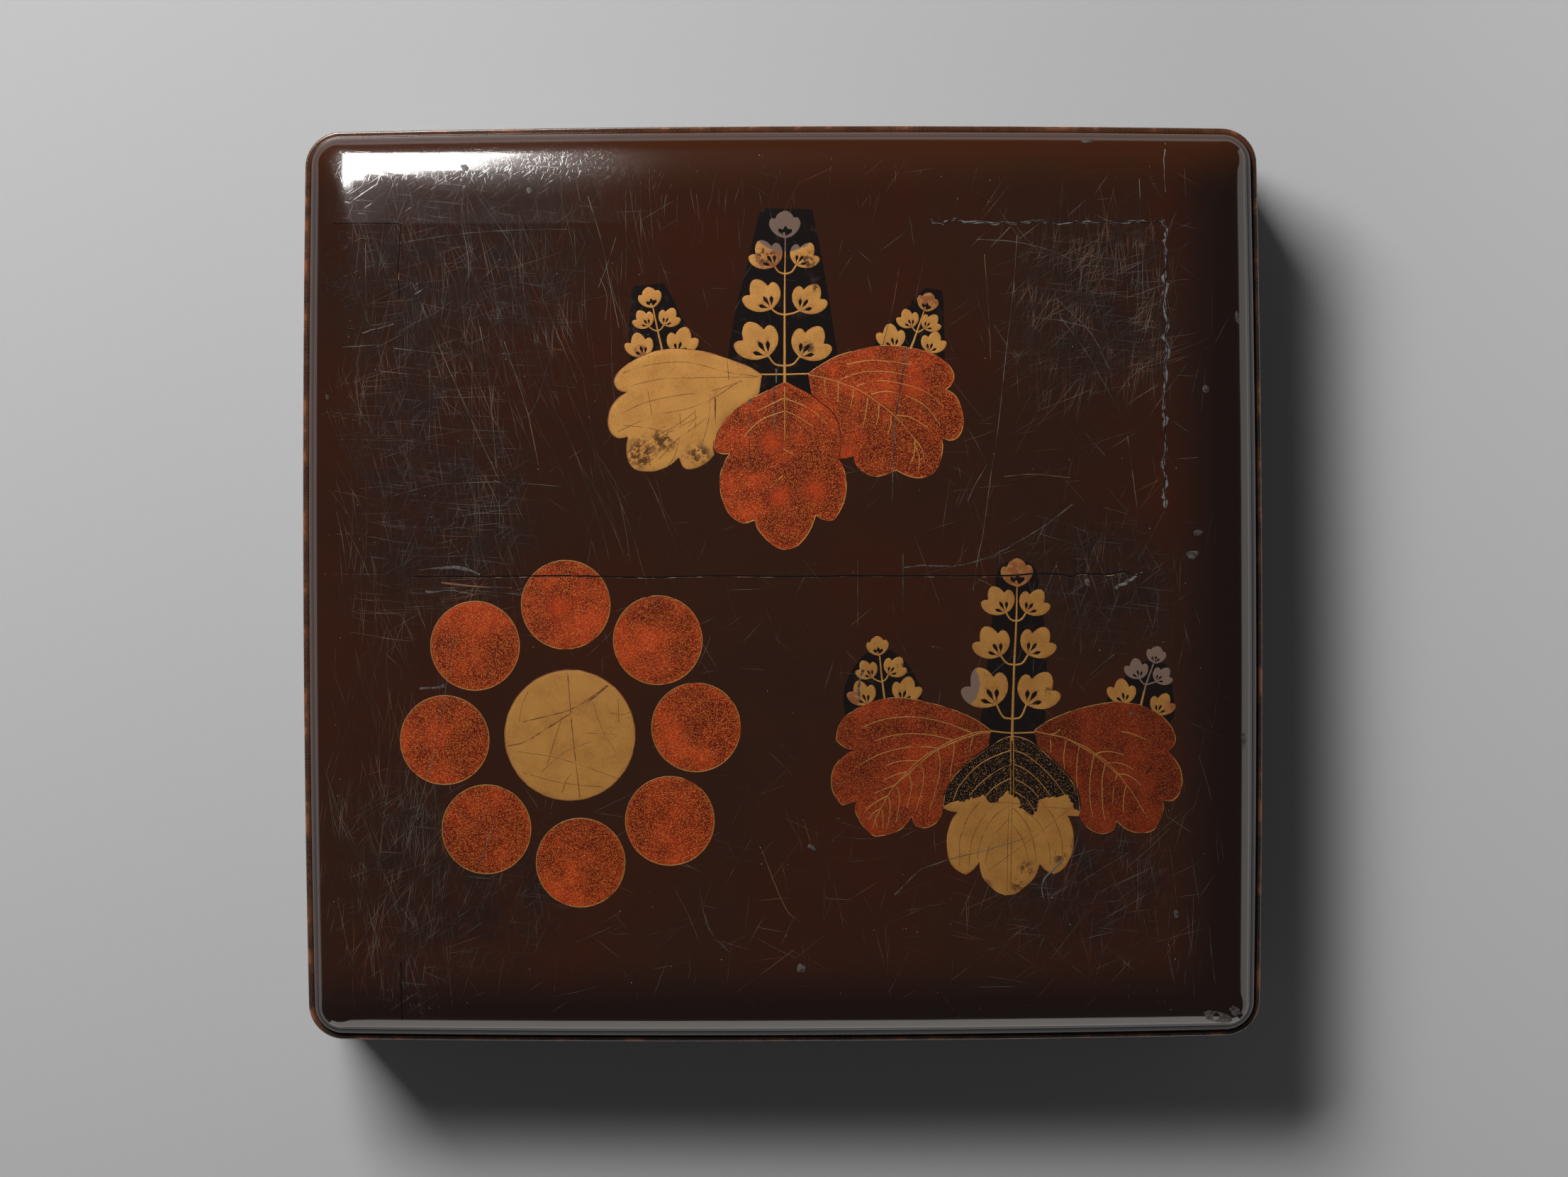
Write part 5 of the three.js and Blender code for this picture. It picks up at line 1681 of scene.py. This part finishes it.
def scattered(name, share, width, seed, finish):
    lines = made_by(scatter_nodes, name, scratched_areas(name), Share=share, Width=width / 2 * MILLIMETRE,
                    Seed=seed, Finish=finish)
    brush(name, lines, finish, "brown_black_lacquer", GROUND_RELIEF, step=4.0, waver=0.25, flatness=0.12,
          worn=0.36)


grey_scratches = scratch_finish("grey_scratches", GREY_SCRATCH)
brown_scratches = scratch_finish("brown_scratches", BROWN_SCRATCH)
scattered("scratches_fine_grey", 2.8, 0.16, 3, grey_scratches)
scattered("scratches_fine_brown", 1.3, 0.15, 5, brown_scratches)

# The deeper scratches and broad scuffs that stand out one by one. Each is drawn where it lies, and tapers
# towards the end where the other thing left the lid.

DEEP_GREY_SCRATCHES = [
    ([(575, 340), (653, 329), (707, 325), (758, 323), (800, 323)], 1.0),
    ([(650, 312), (660, 363), (661, 423)], 1.3), ([(672, 309), (690, 386)], 1.0),
    ([(582, 400), (603, 450), (623, 498), (653, 565), (677, 620), (704, 677)], 1.2),
    ([(711, 481), (744, 582), (760, 657)], 1.1), ([(677, 461), (690, 542), (700, 660)], 1.1),
    ([(829, 276), (848, 339), (859, 393), (873, 462)], 1.5), ([(869, 334), (857, 372), (844, 405)], 1.4),
    ([(515, 342), (516, 455)], 1.0), ([(555, 491), (619, 498)], 1.0), ([(535, 523), (619, 532)], 1.0),
    ([(481, 489), (540, 486)], 1.2), ([(606, 508), (605, 643)], 1.0),
    ([(775, 505), (758, 565), (746, 586)], 1.2),
    ([(555, 699), (609, 685), (657, 681), (707, 680), (792, 686)], 1.1), ([(697, 677), (724, 692)], 1.3),
    ([(1435, 332), (1431, 396), (1420, 494), (1412, 569), (1405, 629), (1399, 663), (1386, 759), (1381, 780),
      (1373, 833)], 1.5),
    ([(1533, 281), (1506, 305)], 1.2), ([(1474, 309), (1439, 336)], 1.1), ([(1425, 320), (1397, 349)], 1.1),
    ([(1378, 337), (1435, 341), (1486, 354), (1512, 366)], 1.1), ([(1608, 251), (1610, 305)], 1.3),
    ([(1497, 448), (1531, 494), (1561, 546), (1587, 595)], 1.3), ([(1531, 610), (1559, 642)], 1.2),
    ([(1591, 614), (1602, 697)], 1.3), ([(1393, 655), (1375, 685), (1365, 708)], 1.3),
    ([(1274, 780), (1274, 861)], 1.4), ([(1210, 790), (1210, 890)], 0.9),
    ([(1280, 489), (1271, 541), (1264, 588), (1262, 616), (1260, 649), (1259, 706)], 2.0),
    ([(1092, 545), (1092, 615)], 1.6), ([(1095, 520), (1095, 540)], 2.4), ([(1058, 565), (1057, 660)], 0.9),
    ([(1500, 1212), (1484, 1229), (1474, 1239), (1471, 1246), (1470, 1255), (1473, 1270)], 2.6),
    ([(1300, 1226), (1341, 1212), (1392, 1199), (1422, 1190), (1447, 1182)], 1.1),
    ([(693, 1170), (660, 1260), (628, 1330)], 1.2), ([(640, 900), (612, 1060), (560, 1240)], 1.0),
    ([(1572, 923), (1538, 952)], 1.2),
]
DEEP_BROWN_SCRATCHES = [
    ([(653, 491), (677, 545), (700, 600)], 1.1), ([(765, 420), (799, 501), (814, 540)], 1.4),
    ([(766, 391), (785, 413)], 1.5), ([(846, 391), (856, 417), (854, 452)], 1.2),
    ([(745, 582), (752, 620), (760, 657)], 1.3), ([(1389, 358), (1394, 426), (1398, 509)], 1.2),
    ([(1485, 490), (1530, 440), (1560, 380)], 1.1), ([(1440, 480), (1500, 400), (1545, 350)], 1.0),
    ([(1417, 672), (1460, 669), (1510, 674)], 1.6), ([(1556, 715), (1591, 725)], 1.8),
    ([(1240, 505), (1260, 430), (1268, 380)], 0.9), ([(1135, 1160), (1150, 1210)], 1.2),
    ([(1040, 1400), (1120, 1340)], 1.0), ([(622, 822), (680, 828), (722, 829)], 3.2),
    ([(950, 1250), (975, 1300), (990, 1340)], 1.2), ([(1075, 1200), (1110, 1285), (1128, 1300)], 1.3),
]
BROAD_SCUFFS = [
    ([(1274, 801), (1312, 797), (1359, 797), (1404, 781), (1429, 768), (1478, 738), (1514, 712)], 3.0),
    ([(510, 469), (530, 463), (555, 457)], 3.4), ([(592, 806), (640, 800), (676, 812)], 7.0),
    ([(600, 836), (640, 832), (668, 838)], 5.0), ([(592, 973), (626, 968)], 7.0),
    ([(1218, 944), (1214, 959), (1210, 994)], 6.0), ([(1460, 448), (1500, 452), (1560, 470)], 1.6),
    ([(1490, 420), (1540, 470), (1565, 520)], 1.6), ([(1540, 410), (1565, 480)], 1.6),
    ([(1262, 1262), (1300, 1225)], 3.0), ([(983, 1235), (1000, 1310), (1030, 1345)], 1.4),
]
SCUFF_RELIEF = 0.117
SCUFF_SEED = 20
THIN_END = 0.6

for name, marks, finish in (("scratches_deep_grey", DEEP_GREY_SCRATCHES, grey_scratches),
                            ("scratches_deep_brown", DEEP_BROWN_SCRATCHES, brown_scratches)):
    strokes = [stroke(points, width, width * THIN_END) for points, width in marks]
    brushed(name, strokes, finish, "brown_black_lacquer", step=2.0, waver=0.25, flatness=0.12, worn=0.32)
scuffs = [torn_strip(points, width, SCUFF_SEED + i) for i, (points, width) in enumerate(BROAD_SCUFFS)]
lay("scuffs_dark_grey", scuffs, SCUFF_RELIEF, chipped_finish)

# Chips, where the lacquer has flaked down to the grey priming under it, most of them near the edges, and
# specks of old dust that sit in the scratched areas.

# Each chip: middle and size in pixels, and its turn in degrees
CHIPS = (
    ((1683, 782), (22, 15), 10), ((1702, 548), (12, 13), 0), ((1691, 751), (15, 12), 20),
    ((1536, 196), (22, 7), 5), ((1747, 447), (8, 24), 10), ((1534, 821), (10, 16), 20),
    ((1058, 565), (9, 9), 0), ((1720, 1437), (58, 22), -14), ((1745, 1428), (22, 14), -30),
    ((1130, 1366), (18, 15), 0), ((1757, 1045), (9, 30), 0), ((655, 235), (15, 10), -30),
    ((746, 268), (9, 10), 0), ((1596, 1006), (8, 9), 0), ((1145, 1195), (16, 8), -20),
    ((1480, 1262), (6, 5), 0), ((1660, 1290), (8, 16), 0), ((460, 559), (6, 10), 10),
)
CHIP_RELIEF = 0.126
CHIP_CORNERS = 11
CHIP_SEED = 40
DUST = (0.33, 0.31, 0.28, 1)
DUST_SIZE = 0.22
DUST_PER_SQUARE_METRE = 900


def chip(middle, size, turn, seed):
    """A flake with a broken outline."""
    chance = random.Random(seed)
    outline = []
    for i in range(CHIP_CORNERS):
        angle = 2 * math.pi * i / CHIP_CORNERS
        reach = chance.uniform(0.62, 1.0)
        flat = Vector((size[0] / 2 * reach * math.cos(angle), size[1] / 2 * reach * math.sin(angle)))
        flat.rotate(Matrix.Rotation(math.radians(turn), 2))
        outline.append(on_lid(middle) + flat / PIXELS_PER_MM)
    return [outline]


flaked = [chip(middle, size, turn, CHIP_SEED + i) for i, (middle, size, turn) in enumerate(CHIPS)]
lay("chips_to_the_priming", flaked, CHIP_RELIEF, chipped_finish)
dust_finish, tree = new_finish("old_dust")
colour = blend_colours(tree, clouds(tree, place_in_piece(tree), 9), DUST, RUBBED_BROWN)
surface(tree, Base_Color=colour, Roughness=0.8)
dust = made_by(flake_nodes, "specks_of_dust", scratched_areas("dust_bed"), Density=DUST_PER_SQUARE_METRE,
               Size=DUST_SIZE * MILLIMETRE, Seed=8, Finish=dust_finish)
ride_on_lid(dust)
